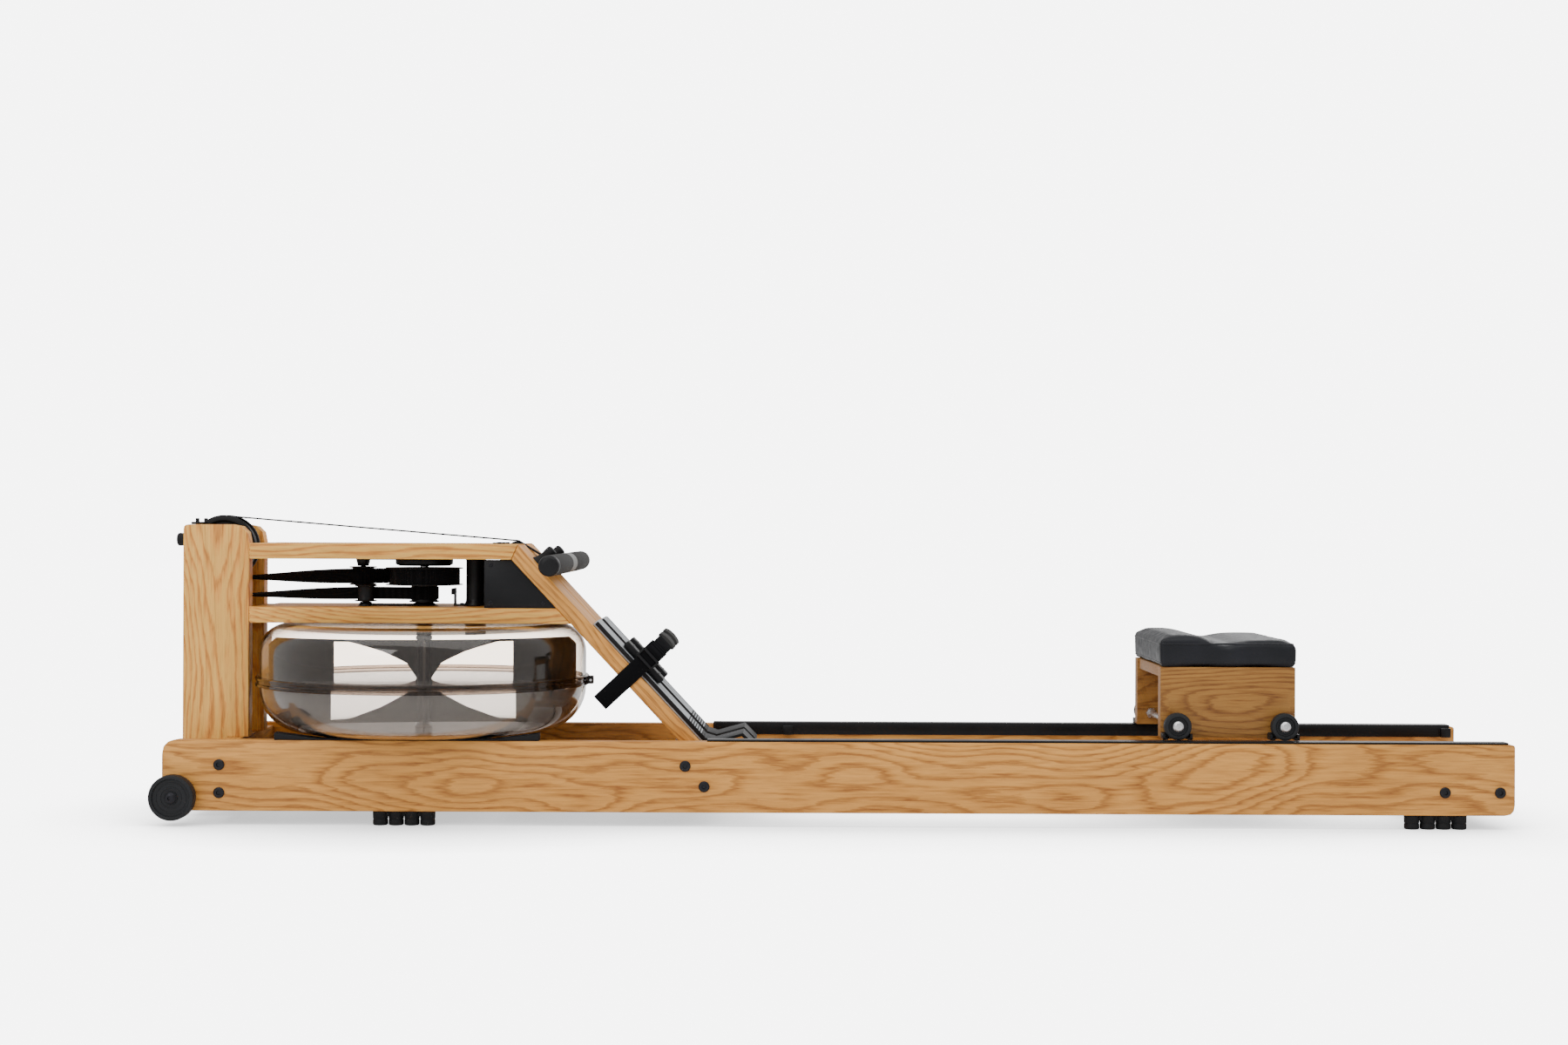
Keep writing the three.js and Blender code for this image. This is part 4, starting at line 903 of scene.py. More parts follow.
drive = {
    "groove": 3 * mm,
    "rollerEdge": 0.6 * mm,
    "journal": 5 * mm,
    "hub": 39.2 * mm,
    "halfRim": 18 * mm,
    "halfStrap": 12.8 * mm,
    "ribs": 6,
}


def makePulley(node, body):
    low, high = lowHigh(node)
    centre = middleOf(node)
    radius = (high.x - low.x) / 2
    reach = (high.y - low.y) / 2
    hub, half, strap, journal = (drive[name] for name in ("hub", "halfRim", "halfStrap", "journal"))
    deep = radius - drive["groove"]
    profile = [(0, -reach), (journal, -reach), (journal, -hub), (14 * mm, -hub), (14 * mm, -half + 3 * mm),
               (radius - 12 * mm, -half + 4 * mm), (radius - 8 * mm, -half), (radius, -half),
               (radius, -strap),
               (deep, -strap + 1 * mm), (deep, strap - 1 * mm), (radius, strap), (radius, half),
               (radius - 8 * mm, half), (radius - 12 * mm, half - 4 * mm), (14 * mm, half - 3 * mm),
               (14 * mm, hub),
               (journal, hub), (journal, reach), (0, reach)]
    bm = turned(profile, "y", centre, 72, drive["rollerEdge"])
    for sign in (-1, 1):
        for index in range(drive["ribs"]):
            angle = math.tau * index / drive["ribs"]
            spot = centre + Vector((math.cos(angle), 0, math.sin(angle))) * (radius * 0.55)
            turn = Matrix.Translation(spot) @ Matrix.Rotation(-angle, 4, "Y")
            width = max(2 * mm, radius * 0.24)
            addBlock(bm, (-width, sign * (half - 3.4 * mm) - 1.2 * mm, -1.2 * mm),
                     (width, sign * (half - 3.4 * mm) + 1.2 * mm, 1.2 * mm), turn, 0.4 * mm)
    pieceFrom(bm, node + "_finish", blackPlastic, body, (node,))


def makeDrums():
    low, high = lowHigh("strap_drum")
    centre = middleOf("strap_drum")
    axis = (centre.x, centre.y, 0)
    outer = (high.x - low.x) / 2
    z0, z1 = low.z, high.z
    drumLow = z0 + 27 * mm
    middle = (drumLow + z1) / 2
    grooveHalf = 12.4 * mm
    bore = 7.3 * mm
    core = outer - 6.2 * mm
    recoil = 21 * mm
    profile = [(bore, z0), (24 * mm, z0), (24 * mm, z0 + 2.2 * mm), (recoil, z0 + 2.4 * mm),
               (recoil, drumLow),
               (outer - 12 * mm, drumLow), (outer, drumLow + 0.6 * mm), (outer, middle - grooveHalf),
               (core, middle - grooveHalf + 0.4 * mm), (core, middle + grooveHalf - 0.4 * mm),
               (outer, middle + grooveHalf), (outer, z1 - 0.4 * mm), (30 * mm, z1), (bore, z1)]
    bm = turned(profile, "z", axis, 96, 0.5 * mm)
    pieceFrom(bm, "strapDrum", blackPlastic, "drum", ("strap_drum",))
    for node, body in (("upper_guide_roller", "upper_guide"), ("lower_guide_roller", "lower_guide")):
        low, high = lowHigh(node)
        spot = middleOf(node)
        radius = (high.x - low.x) / 2
        half = (high.z - low.z) / 2
        core = radius - 4.6 * mm
        bore = 4.8 * mm
        edge = half - 2.2 * mm
        profile = [(bore, -half), (radius - 0.6 * mm, -half), (radius, -half + 0.8 * mm),
                   (radius, -edge - 0.4 * mm),
                   (core, -edge + 0.3 * mm), (core, edge - 0.3 * mm), (radius, edge + 0.4 * mm),
                   (radius, half - 0.8 * mm), (radius - 0.6 * mm, half), (bore, half)]
        bm = turned(profile, "z", spot, 56, 0.3 * mm)
        pieceFrom(bm, node + "_finish", blackPlastic, body, (node,))
    low, high = lowHigh("strap_roller")
    centre = middleOf("strap_roller")
    radius = (high.x - low.x) / 2
    reach = (high.y - low.y) / 2
    half = 15 * mm
    profile = [(0, -reach), (3 * mm, -reach), (3 * mm, -half), (radius - 1 * mm, -half),
               (radius, -half + 1 * mm),
               (radius, half - 1 * mm), (radius - 1 * mm, half), (3 * mm, half), (3 * mm, reach),
               (0, reach)]
    bm = turned(profile, "y", centre, 48)
    pieceFrom(bm, "strapRoller", blackPlastic, "strap_roller", ("strap_roller",))
    makePulley("front_pulley", "front_pulley")
    makePulley("recoil_pulley", "recoil_pulley")
    print("drums and pulleys done")


bearing = {"bore": 7.3 * mm, "spindle": 4 * mm}


def makeBearings():
    tankAxis = middleOf("tank_ring")
    low, high = lowHigh("upper_bearing")
    guide = middleOf("upper_guide_roller")
    guideHigh = lowHigh("upper_guide_roller")[1].z
    top = high.z
    bm = turned([(bearing["bore"], top - 11.7 * mm), (40 * mm, top - 11.7 * mm), (46 * mm, top - 9 * mm),
                   (46 * mm, top), (bearing["bore"], top)], "z", (tankAxis.x, 0, 0), 72, 0.6 * mm)
    addTurned(bm, [(0, low.z), (3 * mm, low.z), (bearing["spindle"], low.z + 1 * mm),
                   (bearing["spindle"], guideHigh + 0.8 * mm),
                   (9 * mm, guideHigh + 0.8 * mm), (12 * mm, top), (0, top)], "z", (guide.x, guide.y, 0),
                   32, 0.3 * mm)
    addBlock(bm, (guide.x, guide.y - 8 * mm, top - 3 * mm),
             (tankAxis.x - 18 * mm, guide.y + 8 * mm, top - 0.1 * mm),
             None, 0.6 * mm)
    pieceFrom(bm, "upperBearing", blackPlastic, "frame", ("upper_bearing",))
    low, high = lowHigh("lower_bearing")
    guide = middleOf("lower_guide_roller")
    guideLow = lowHigh("lower_guide_roller")[0].z
    base = low.z
    bossTop = lowHigh("strap_drum")[0].z - 0.8 * mm
    bm = turned([(bearing["bore"], base), (22 * mm, base), (15 * mm, bossTop), (bearing["bore"], bossTop)],
              "z", (tankAxis.x, 0, 0), 56, 0.4 * mm)
    addTurned(bm, [(0, base), (12 * mm, base), (9 * mm, guideLow - 0.8 * mm),
                   (bearing["spindle"], guideLow - 0.8 * mm),
                   (bearing["spindle"], high.z - 1 * mm), (3 * mm, high.z), (0, high.z)],
              "z", (guide.x, guide.y, 0), 32, 0.3 * mm)
    addBlock(bm, (guide.x, guide.y + 2 * mm, base + 0.1 * mm),
             (tankAxis.x - 18 * mm, guide.y + 18 * mm, base + 3 * mm),
             None, 0.6 * mm)
    pieceFrom(bm, "lowerBearing", blackPlastic, "frame", ("lower_bearing",))
    low, high = lowHigh("deck_column")
    centre = middleOf("deck_column")
    bm = turned([(0, low.z), (19 * mm, low.z), (19 * mm, low.z + 2 * mm), (16 * mm, low.z + 7 * mm),
                   (15.5 * mm, low.z + 12 * mm), (15.5 * mm, high.z - 3 * mm), (17 * mm, high.z - 1 * mm),
                   (17 * mm, high.z), (0, high.z)], "z", (centre.x, centre.y, 0), 56, 0.3 * mm)
    pieceFrom(bm, "deckColumn", blackPlastic, "frame", ("deck_column",))
    low, high = lowHigh("cord_guide")
    centre = middleOf("cord_guide")
    reach = (high.y - low.y) / 2
    wide = (high.x - low.x) / 2
    bm = turned([(0, -reach), (5 * mm, -reach), (5 * mm, -40.7 * mm), (wide, -40.7 * mm), (wide, -8 * mm),
                   (wide - 1.5 * mm, -3 * mm), (wide - 1.5 * mm, 3 * mm), (wide, 8 * mm), (wide, 40.7 * mm),
                   (5 * mm, 40.7 * mm), (5 * mm, reach), (0, reach)], "y", centre, 48, 0.5 * mm)
    pieceFrom(bm, "cordGuide", brightSteel, "frame", ("cord_guide",))
    print("bearings done")


# straps and cord of the drive

straps = {
    "thickness": 2.2 * mm,
    "width": 24 * mm,
    "recoilWidth": 20 * mm,
    "lift": 1.4 * mm,
    "groove": 3 * mm,
    "cordRadius": 4 * mm,
}
acrossY = Vector((0, 1, 0))
acrossZ = Vector((0, 0, 1))


def arcPoints(a, b, radius, start, end, steps):
    return [(a + radius * math.cos(start + (end - start) * i / steps),
             b + radius * math.sin(start + (end - start) * i / steps)) for i in range(steps + 1)]


def aroundPulley(centre, radius, start, end, steps):
    return [(Vector((x, 0, z)), acrossY) for x, z in arcPoints(centre.x, centre.z, radius, start, end,
                                                               steps)]


def quarterTwist(start, end, steps):
    stations = []
    for index in range(1, steps + 1):
        share = index / steps
        angle = math.pi / 2 * share
        stations.append((start.lerp(end, share), Vector((0, math.cos(angle), math.sin(angle)))))
    return stations


def ontoDrum(guide, height, guideWrap, wrap, sign, turns):
    # passes a guide roller on one side, then winds on edge round the drum
    drumX = middleOf("tank_ring").x
    offset, aside = drumX - guide.x, abs(guide.y)
    heading = math.asin((guideWrap + wrap) / math.hypot(offset, aside)) - math.atan2(aside, offset)
    guideArc = arcPoints(guide.x, aside, guideWrap, -math.pi / 2, heading - math.pi / 2, 8)
    drumArc = arcPoints(drumX, 0, wrap, math.pi / 2 + heading, math.pi / 2 + heading - turns, 72)
    return [(Vector((x, sign * y, height)), acrossZ) for x, y in guideArc + drumArc]


def sweepSection(bm, stations, section, closed=False):
    # carries a section along stations of (point, direction across), with end faces unless closed
    rows = []
    total = len(stations)
    for index, (point, across) in enumerate(stations):
        after, before = (index + 1) % total, index - 1
        if not closed:
            after, before = min(index + 1, total - 1), max(before, 0)
        tangent = (stations[after][0] - stations[before][0]).normalized()
        wide = (across - tangent * across.dot(tangent)).normalized()
        up = tangent.cross(wide)
        rows.append([bm.verts.new(point + wide * a + up * b) for a, b in section])
    count = len(section)
    for first, second in zip(rows, rows[1:] + rows[:closed]):
        for i in range(count):
            bm.faces.new((first[i], first[(i + 1) % count], second[(i + 1) % count], second[i]))
    if not closed:
        bm.faces.new(rows[0])
        bm.faces.new(rows[-1])


def strapSection(width, thickness):
    # slightly rounded selvedges and a faint crown
    a, b = width / 2, thickness / 2
    return [(-a, -b * 0.45), (-a + b * 0.8, -b), (0, -b * 1.02), (a - b * 0.8, -b), (a, -b * 0.45),
            (a, b * 0.45), (a - b * 0.8, b), (0, b * 1.02), (-a + b * 0.8, b), (-a, b * 0.45)]


def makeDriveStraps():
    front = middleOf("front_pulley")
    recoil = middleOf("recoil_pulley")
    roller = middleOf("strap_roller")
    frontRadius, recoilRadius = sizeOf("front_pulley").x / 2, sizeOf("recoil_pulley").x / 2
    rollerWrap = sizeOf("strap_roller").x / 2 + straps["lift"]
    frontWrap = frontRadius - straps["groove"] + straps["lift"]
    recoilWrap = recoilRadius - straps["groove"] + straps["lift"]
    halfPi = math.pi / 2
    climb = math.atan2(front.z + frontWrap - roller.z - rollerWrap, roller.x - front.x)
    upperMiddle = middleOf("upper_guide_roller")
    lowerMiddle = middleOf("lower_guide_roller")
    drumWrap = 54.6 * mm + straps["lift"]
    upperRun = ontoDrum(upperMiddle, upperMiddle.z, 18 * mm + straps["lift"], drumWrap, 1, 4.4)
    stations = aroundPulley(roller, rollerWrap, halfPi - 0.35, halfPi + 0.05 - climb, 6)
    stations += aroundPulley(front, frontWrap, halfPi - climb, math.pi * 1.5, 56)
    stations += quarterTwist(Vector((front.x + 20 * mm, 0, front.z - frontWrap)), upperRun[0][0], 28)
    stations += upperRun[1:]
    bm = bmesh.new()
    sweepSection(bm, stations, strapSection(straps["width"], straps["thickness"]))
    pieceFrom(bm, "driveStrap", strapWeave, "frame", ("drive_strap",), 50)
    lowerRun = ontoDrum(lowerMiddle, lowerMiddle.z, 13.5 * mm + straps["lift"], 21 * mm + straps["lift"],
                        -1, 4)
    dropX = front.x - recoilWrap
    stations = [(Vector((dropX, 0, recoil.z - 110 * mm)), acrossY)]
    stations += aroundPulley(recoil, recoilWrap, math.pi, halfPi, 28)
    stations += quarterTwist(Vector((front.x + 20 * mm, 0, recoil.z + recoilWrap)), lowerRun[0][0], 28)
    stations += lowerRun[1:]
    bm = bmesh.new()
    sweepSection(bm, stations, strapSection(straps["recoilWidth"], straps["thickness"]))
    guide = middleOf("cord_guide")
    turn = sizeOf("cord_guide").x / 2 + 0.8 * mm + straps["cordRadius"]
    cordLow = guide.z - turn
    cordRun = [(Vector((dropX, 0, recoil.z - 90 * mm)), acrossY)]
    cordRun += aroundPulley(guide, turn, math.pi, math.pi * 1.5, 20)
    anchor = lowHigh("recoil_strap")[1].x - 2 * mm
    cordRun += [(Vector((anchor, 0, cordLow)), acrossY)]
    circle = [(straps["cordRadius"] * math.cos(t * math.tau / 14),
               straps["cordRadius"] * math.sin(t * math.tau / 14))
              for t in range(14)]
    pieceFrom(bm, "recoilStrap", strapWeave, "frame", ("recoil_strap",), 50)
    bm = bmesh.new()
    sweepSection(bm, cordRun, circle)
    addTurned(bm, [(0, -8 * mm), (5 * mm, -7 * mm), (7 * mm, -4 * mm), (7 * mm, 0), (5 * mm, 2 * mm),
                   (0, 2 * mm)],
              "x", (anchor, 0, cordLow), 20)
    addTurned(bm, [(0, 0), (4.8 * mm, 0.6 * mm), (5.4 * mm, 3 * mm), (5.4 * mm, 15 * mm),
                   (4.8 * mm, 18 * mm), (0, 18.6 * mm)],
              "z", (dropX, 0, recoil.z - 111 * mm), 20)
    pieceFrom(bm, "recoilCord", cordWeave, "frame")
    makeHandleStrap(roller, rollerWrap)
    print("drive straps done")


def makeHandleStrap(roller, rollerWrap):
    high = lowHigh("handle_strap")[1]
    clip = Vector((high.x - 0.4 * mm, 0, middleOf("handle_bar").z + 3 * mm))
    start = math.pi / 2 - 0.40
    fall = math.atan2(roller.z + rollerWrap - clip.z, clip.x - roller.x)
    stations = aroundPulley(roller, rollerWrap, start, math.pi / 2 - fall, 8)
    last = stations[-1][0]
    stations += [(last.lerp(clip, i / 30), acrossY) for i in range(1, 31)]
    bm = bmesh.new()
    sweepSection(bm, stations, strapSection(straps["width"], straps["thickness"]))
    strap = pieceFrom(bm, "handleStrap", strapWeave, None, ("handle_strap",), 50)
    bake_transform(strap)


# handle and its rest

handle = {"core": 10 * mm, "band": 34 * mm, "cap": 24 * mm, "ribs": 17}


def makeHandle():
    low, high = lowHigh("handle_grip_left")
    centre = (low + high) / 2
    centre.y = 0
    radius = (high.x - low.x) / 2
    half = lowHigh("handle_bar")[1].y
    core, band, cap = handle["core"], handle["band"], handle["cap"]
    bm = bmesh.new()
    endProfile = [(core, cap - half), (radius - 0.6 * mm, cap - half), (radius, cap - half - 0.8 * mm)]
    endProfile += [(radius, 6 * mm - half), (radius - 1.2 * mm, 3 * mm - half),
                   (radius - 4 * mm, 0.8 * mm - half),
                   (radius - 8 * mm, -half), (0, -half)]
    endProfile.reverse()
    profile = endProfile + [(core, -band), (radius - 1.0 * mm, -band), (radius - 1.0 * mm, band),
                            (core, band)]
    profile += [(r, -h) for r, h in reversed(endProfile)]
    addTurned(bm, profile, "y", centre, 48)
    clipFront = lowHigh("handle_bar")[0].x
    z = centre.z + 3 * mm
    wide = straps["width"] / 2 + 2 * mm
    addBlock(bm, (clipFront, -wide, z - 5 * mm), (centre.x - core + 2 * mm, wide, z + 5 * mm), None,
             1.6 * mm, 3)
    pieceFrom(bm, "handleCore", blackPlastic, "handle", ("handle_bar",))
    bm = bmesh.new()
    pitch = 2 * (band - 1 * mm) / handle["ribs"]
    profile = [(radius - 0.9 * mm, -band + 0.1 * mm)]
    for index in range(handle["ribs"]):
        start = -band + 1 * mm + index * pitch
        profile += [(radius - 0.7 * mm, start), (radius + 0.2 * mm, start + pitch * 0.25),
                    (radius + 0.2 * mm, start + pitch * 0.65), (radius - 0.7 * mm, start + pitch * 0.9)]
    profile += [(radius - 0.9 * mm, band - 0.1 * mm)]
    profile = [(0, profile[0][1])] + profile + [(0, profile[-1][1])]
    addTurned(bm, profile, "y", centre, 56)
    pieceFrom(bm, "handleBand", foamBand, "handle", smoothAngle=60)
    for side in ("left", "right"):
        near, far = (corner.y for corner in lowHigh("handle_grip_" + side))
        edge = 2 * mm
        profile = [(core + 0.3 * mm, near), (radius - edge, near), (radius - edge * 0.3, near + edge * 0.3),
                   (radius, near + edge), (radius + 0.3 * mm, (near + far) / 2), (radius, far - edge),
                   (radius - edge * 0.3, far - edge * 0.3), (radius - edge, far), (core + 0.3 * mm, far)]
        bm = turned(profile, "y", centre, 56)
        grip = pieceFrom(bm, "handleGrip_" + side, foamGrip, "handle", ("handle_grip_" + side,), 60)
    makePegs()
    print("handle done")


pegs = {"radius": 9 * mm, "tall": 33 * mm, "side": 68 * mm, "handleAlong": 67 * mm, "gripRadius": 16 * mm}


def makePegs():
    radius, tall, y = pegs["radius"], pegs["tall"], pegs["side"]
    along = pegs["handleAlong"] - pegs["gripRadius"] - radius - 0.5 * mm
    place = Matrix.Translation(onSlope(along, 0)) @ slopeTurn
    profile = [(0, 0.3 * mm), (13 * mm, 0.3 * mm), (12.6 * mm, 1.4 * mm), (10 * mm, 6 * mm), (radius, 12 * mm),
               (radius - 0.6 * mm, 16 * mm), (radius, 20 * mm), (radius, tall - 4 * mm),
               (radius - 1.2 * mm, tall - 1.2 * mm), (radius - 4 * mm, tall), (0, tall)]
    bm = bmesh.new()
    for sign in (-1, 1):
        addTurned(bm, profile, "z", (0, sign * y, 0), 40)
    bm.transform(place)
    addBlock(bm, (-11 * mm, -y, 0.3 * mm), (11 * mm, y, 2.3 * mm), place, 0.6 * mm)
    pieceFrom(bm, "handleRest", blackRubber, "frame", ("handle_rest",))


# foot plates and their straps

feet = {
    "plateStart": 172 * mm,
    "strapAlong": 270 * mm,
    "width": 28 * mm,
    "thickness": 3 * mm,
    "rise": 58 * mm,
    "low": 9.6 * mm,
    "clampHeight": 12 * mm,
    "inner": 8 * mm,
    "outer": 111.3 * mm,
    "corner": 26 * mm,
    "plateMiddle": 56 * mm,
    "below": -74 * mm,
}
pad = {"start": 30 * mm, "reach": 62 * mm, "halfWidth": 16.5 * mm, "halfHeight": 9.5 * mm * 0.62, "around": 28}


def makeFootPlates():
    for side in ("left", "right"):
        body = "foot_plate_" + side
        bm = copyOfNode(body)
        roundEdges(bm, 0.8 * mm, 2, 30)
        pieceFrom(bm, body + "_finish", greyPlastic, body, (body,), 40)
        low, high = lowHigh(body)
        middle = (low.y + high.y) / 2
        half = (high.y - low.y) / 2
        place = Matrix.Translation(onSlope(0, 0, middle)) @ slopeTurn
        bm = bmesh.new()
        for edge in (-1, 1):
            y0, y1 = sorted((edge * (half - 2 * mm), edge * half))
            addBlock(bm, (feet["plateStart"] + 2 * mm, y0 + edge * 1.0 * mm, 3 * mm),
                     (feet["plateStart"] + 250 * mm, y1 + edge * 1.0 * mm, 9.6 * mm), place, 0.6 * mm)
        for index in range(8):
            along = feet["plateStart"] + 212 * mm + index * 5 * mm
            addBlock(bm, (along, -half + 6 * mm, 8.4 * mm), (along + 2.4 * mm, half - 6 * mm, 9.5 * mm),
                     place, 0.4 * mm)
        pieceFrom(bm, "plateTread_" + side, blackRubber, body)
    print("foot plates done")


def makeFootStraps():
    for side, sign in sides:
        plateMiddle = feet["plateMiddle"] * sign
        place = Matrix.Translation(onSlope(feet["strapAlong"], 0)) @ slopeTurn
        low, high = feet["low"], feet["low"] + feet["rise"]
        inner, outer, corner = feet["inner"], feet["outer"], feet["corner"]
        # a loop of webbing, closed under the foot and arched over it
        t = feet["thickness"] / 2
        points = [(inner + t, low + 6 * mm)]
        points += [(inner + t, high - corner)]
        points += arcPoints(inner + corner, high - corner, corner - t, math.pi, math.pi / 2, 10)[1:]
        points += [(inner + corner + (outer - inner - 2 * corner) * i / 6,
                    high - t + 1.2 * mm * math.sin(math.pi * i / 6))
                   for i in range(1, 6)]
        points += arcPoints(outer - corner, high - corner, corner - t, math.pi / 2, 0, 10)
        points += [(outer - t, low + 20 * mm), (outer - t, feet["below"])]
        bm = bmesh.new()
        stations = [(Vector((0, sign * y, z)), Vector((1, 0, 0))) for y, z in points]
        sweepSection(bm, stations, strapSection(feet["width"], feet["thickness"]))
        stations = [(Vector((0, sign * y, low + t + 0.1 * mm)), Vector((1, 0, 0)))
                    for y in (inner + 0.3 * mm, plateMiddle * sign, outer - 2 * t)]
        sweepSection(bm, stations, strapSection(feet["width"], feet["thickness"]))
        bm.transform(place)
        pieceFrom(bm, "footStrap_" + side, strapWeave, "frame", ("foot_strap_" + side,), 50)
        makeStrapClamp(side, sign, place, low, plateMiddle)
        makeStrapPad(side, sign, place, high)
    print("foot straps done")


def makeStrapClamp(side, sign, place, low, middle):
    bm = bmesh.new()
    tall = feet["clampHeight"]
    addBlock(bm, (-42 * mm, middle - 17 * mm, low + 1 * mm), (42 * mm, middle + 17 * mm, low + tall), place,
             3 * mm, 3)
    addBlock(bm, (-40 * mm, middle - 15 * mm, low), (40 * mm, middle + 15 * mm, low + 2 * mm), place,
             0.5 * mm)
    for x in (-30 * mm, 30 * mm):
        addBlock(bm, (x - 1.2 * mm, middle - 13 * mm, low + tall - 0.5 * mm),
                 (x + 1.2 * mm, middle + 13 * mm, low + tall + 0.8 * mm), place, 0.4 * mm)
    addBlock(bm, (-4 * mm, middle - 3 * mm, 0.4 * mm), (4 * mm, middle + 3 * mm, low + 2 * mm), place,
             0.4 * mm)
    # buckle on the outer side of the strap
    y = sign * 112.0 * mm
    y0, y1 = sorted((y - sign * 4.0 * mm, y + sign * 1.6 * mm))
    addBlock(bm, (-17 * mm, y0, low + 10 * mm), (17 * mm, y1, low + 14 * mm), place, 1.2 * mm)
    addBlock(bm, (-17 * mm, y0, low + 24 * mm), (17 * mm, y1, low + 28 * mm), place, 1.2 * mm)
    for x in (-17 * mm, 14 * mm):
        addBlock(bm, (x, y0, low + 10 * mm), (x + 3 * mm, y1, low + 28 * mm), place, 1 * mm)
    pieceFrom(bm, "strapClamp_" + side, blackPlastic, "frame")


def makeStrapPad(side, sign, place, high):
    # a foam sleeve rolled over the top of the strap
    bm = bmesh.new()
    across = []
    for index in range(17):
        share = index / 16
        y = sign * (pad["start"] + pad["reach"] * share)
        z = high - 1.5 * mm + 1.2 * mm * math.sin(math.pi * share)
        across.append((Vector((0, y, z)), Vector((1, 0, 0))))
    section = []
    for index in range(pad["around"]):
        angle = math.tau * index / pad["around"]
        fullness = 0.942 if abs(math.sin(angle)) > 0.3 else 0.95
        section.append((pad["halfWidth"] * math.cos(angle), pad["halfHeight"] * math.sin(angle) * fullness))
    sweepSection(bm, across, section)
    roundEdges(bm, 1.6 * mm, 3, 60)
    bm.transform(place)
    sleeve = pieceFrom(bm, "strapPad_" + side, foamGrip, "frame", smoothAngle=60)


# seat

seat = {
    "voxel": 5 * mm,
    "inset": 1.8 * mm,
    "travel": 5 * mm,
    "rearDrop": 7.5 * mm,
    "dip": 6 * mm,
    "topEdge": 5.5 * mm,
    "bottomEdge": 5.5 * mm,
    "pressure": 4.0,
    "frames": 20,
    "seamRadius": 1.5 * mm,
    "seamSteps": 220,
    "padding": 0.85,
}


def cushionStops(length):
    # stations lie closer together near the rounded edges
    edge = [0, 0.7 * mm, 1.8 * mm, 3.4 * mm, 5.5 * mm]
    count = 20
    inner = [8 * mm + (length - 16 * mm) * i / count for i in range(count + 1)]
    return edge + inner + [length - place for place in reversed(edge)]


def rounding(near, radius):
    inside = max(0, radius - near)
    return radius - math.sqrt(max(0, radius * radius - inside * inside))


def cushionShape(grow):
    # the outline of the pad, lower in the middle where the sitter rests
    low, high = lowHigh("seat_cushion")
    low, high = low + Vector((grow, grow, grow)), high - Vector((grow, grow, grow))
    bm = bmesh.new()
    length, width = high.x - low.x, high.y - low.y
    alongs, acrosses = cushionStops(length), cushionStops(width)
    columns, rows = len(alongs) - 1, len(acrosses) - 1
    grid = {}
    for i, along in enumerate(alongs):
        for j, across in enumerate(acrosses):
            near = min(along, length - along, across, width - across)
            u = along / length
            blend = min(1, max(0, (u - 0.2) / 0.34))
            rear = seat["rearDrop"] * blend * blend * (3 - 2 * blend)
            dip = seat["dip"] * math.exp(-((u - 0.47) / 0.13) ** 2)
            top = high.z - rounding(near, seat["topEdge"]) - rear - dip
            bottom = low.z + rounding(near, seat["bottomEdge"])
            grid[0, i, j] = bm.verts.new((low.x + along, low.y + across, bottom))
            grid[1, i, j] = bm.verts.new((low.x + along, low.y + across, top))
    for layer in (0, 1):
        for i in range(columns):
            for j in range(rows):
                corners = ((i, j), (i + 1, j), (i + 1, j + 1), (i, j + 1))
                bm.faces.new([grid[layer, k, m] for k, m in corners])
    rim = [(i, 0) for i in range(columns)] + [(columns, j) for j in range(rows)]
    rim += [(i, rows) for i in range(columns, 0, -1)] + [(0, j) for j in range(rows, 0, -1)]
    for (i, j), (k, m) in zip(rim, rim[1:] + rim[:1]):
        bm.faces.new((grid[0, i, j], grid[0, k, m], grid[1, k, m], grid[1, i, j]))
    bmesh.ops.recalc_face_normals(bm, faces=bm.faces)
    return bm


def swell(piece):
    # the pad is blown up by a short cloth run, and how far a point may go is capped
    remesh = piece.modifiers.new("remesh", "REMESH")
    remesh.mode = "VOXEL"
    remesh.voxel_size = seat["voxel"]
    settle(piece)
    rest = [vert.co.copy() for vert in piece.data.vertices]
    cloth = piece.modifiers.new("cloth", "CLOTH")
    cloth.settings.use_pressure = True
    cloth.settings.uniform_pressure_force = seat["pressure"]
    cloth.settings.effector_weights.gravity = 0
    cloth.point_cache.frame_start = 1
    cloth.point_cache.frame_end = seat["frames"]
    scene = bpy.context.scene
    for number in range(1, seat["frames"] + 1):
        scene.frame_set(number)
    settle(piece)
    low, high = lowHigh("seat_cushion")
    for vert, start in zip(piece.data.vertices, rest):
        move = vert.co - start
        if move.length > seat["travel"]:
            vert.co = start + move.normalized() * seat["travel"]
        vert.co.z = min(max(vert.co.z, low.z + 0.3 * mm), high.z + 4 * mm)
    scene.frame_set(1)
    smooth = piece.modifiers.new("smooth", "SUBSURF")
    smooth.levels = 1
    smooth.render_levels = 1
    settle(piece)


def settle(piece):
    bpy.context.view_layer.update()
    evaluated = piece.evaluated_get(bpy.context.evaluated_depsgraph_get())
    data = bpy.data.meshes.new_from_object(evaluated)
    old = piece.data
    piece.modifiers.clear()
    piece.data = data
    bpy.data.meshes.remove(old)


def makeCushion():
    bm = cushionShape(seat["inset"])
    cushion = pieceFrom(bm, "seatCushion", seatLeather, "seat", ("seat_cushion",), 60)
    swell(cushion)
    for polygon in cushion.data.polygons:
        polygon.use_smooth = True
    makeSeams(cushion)
    print("cushion done")


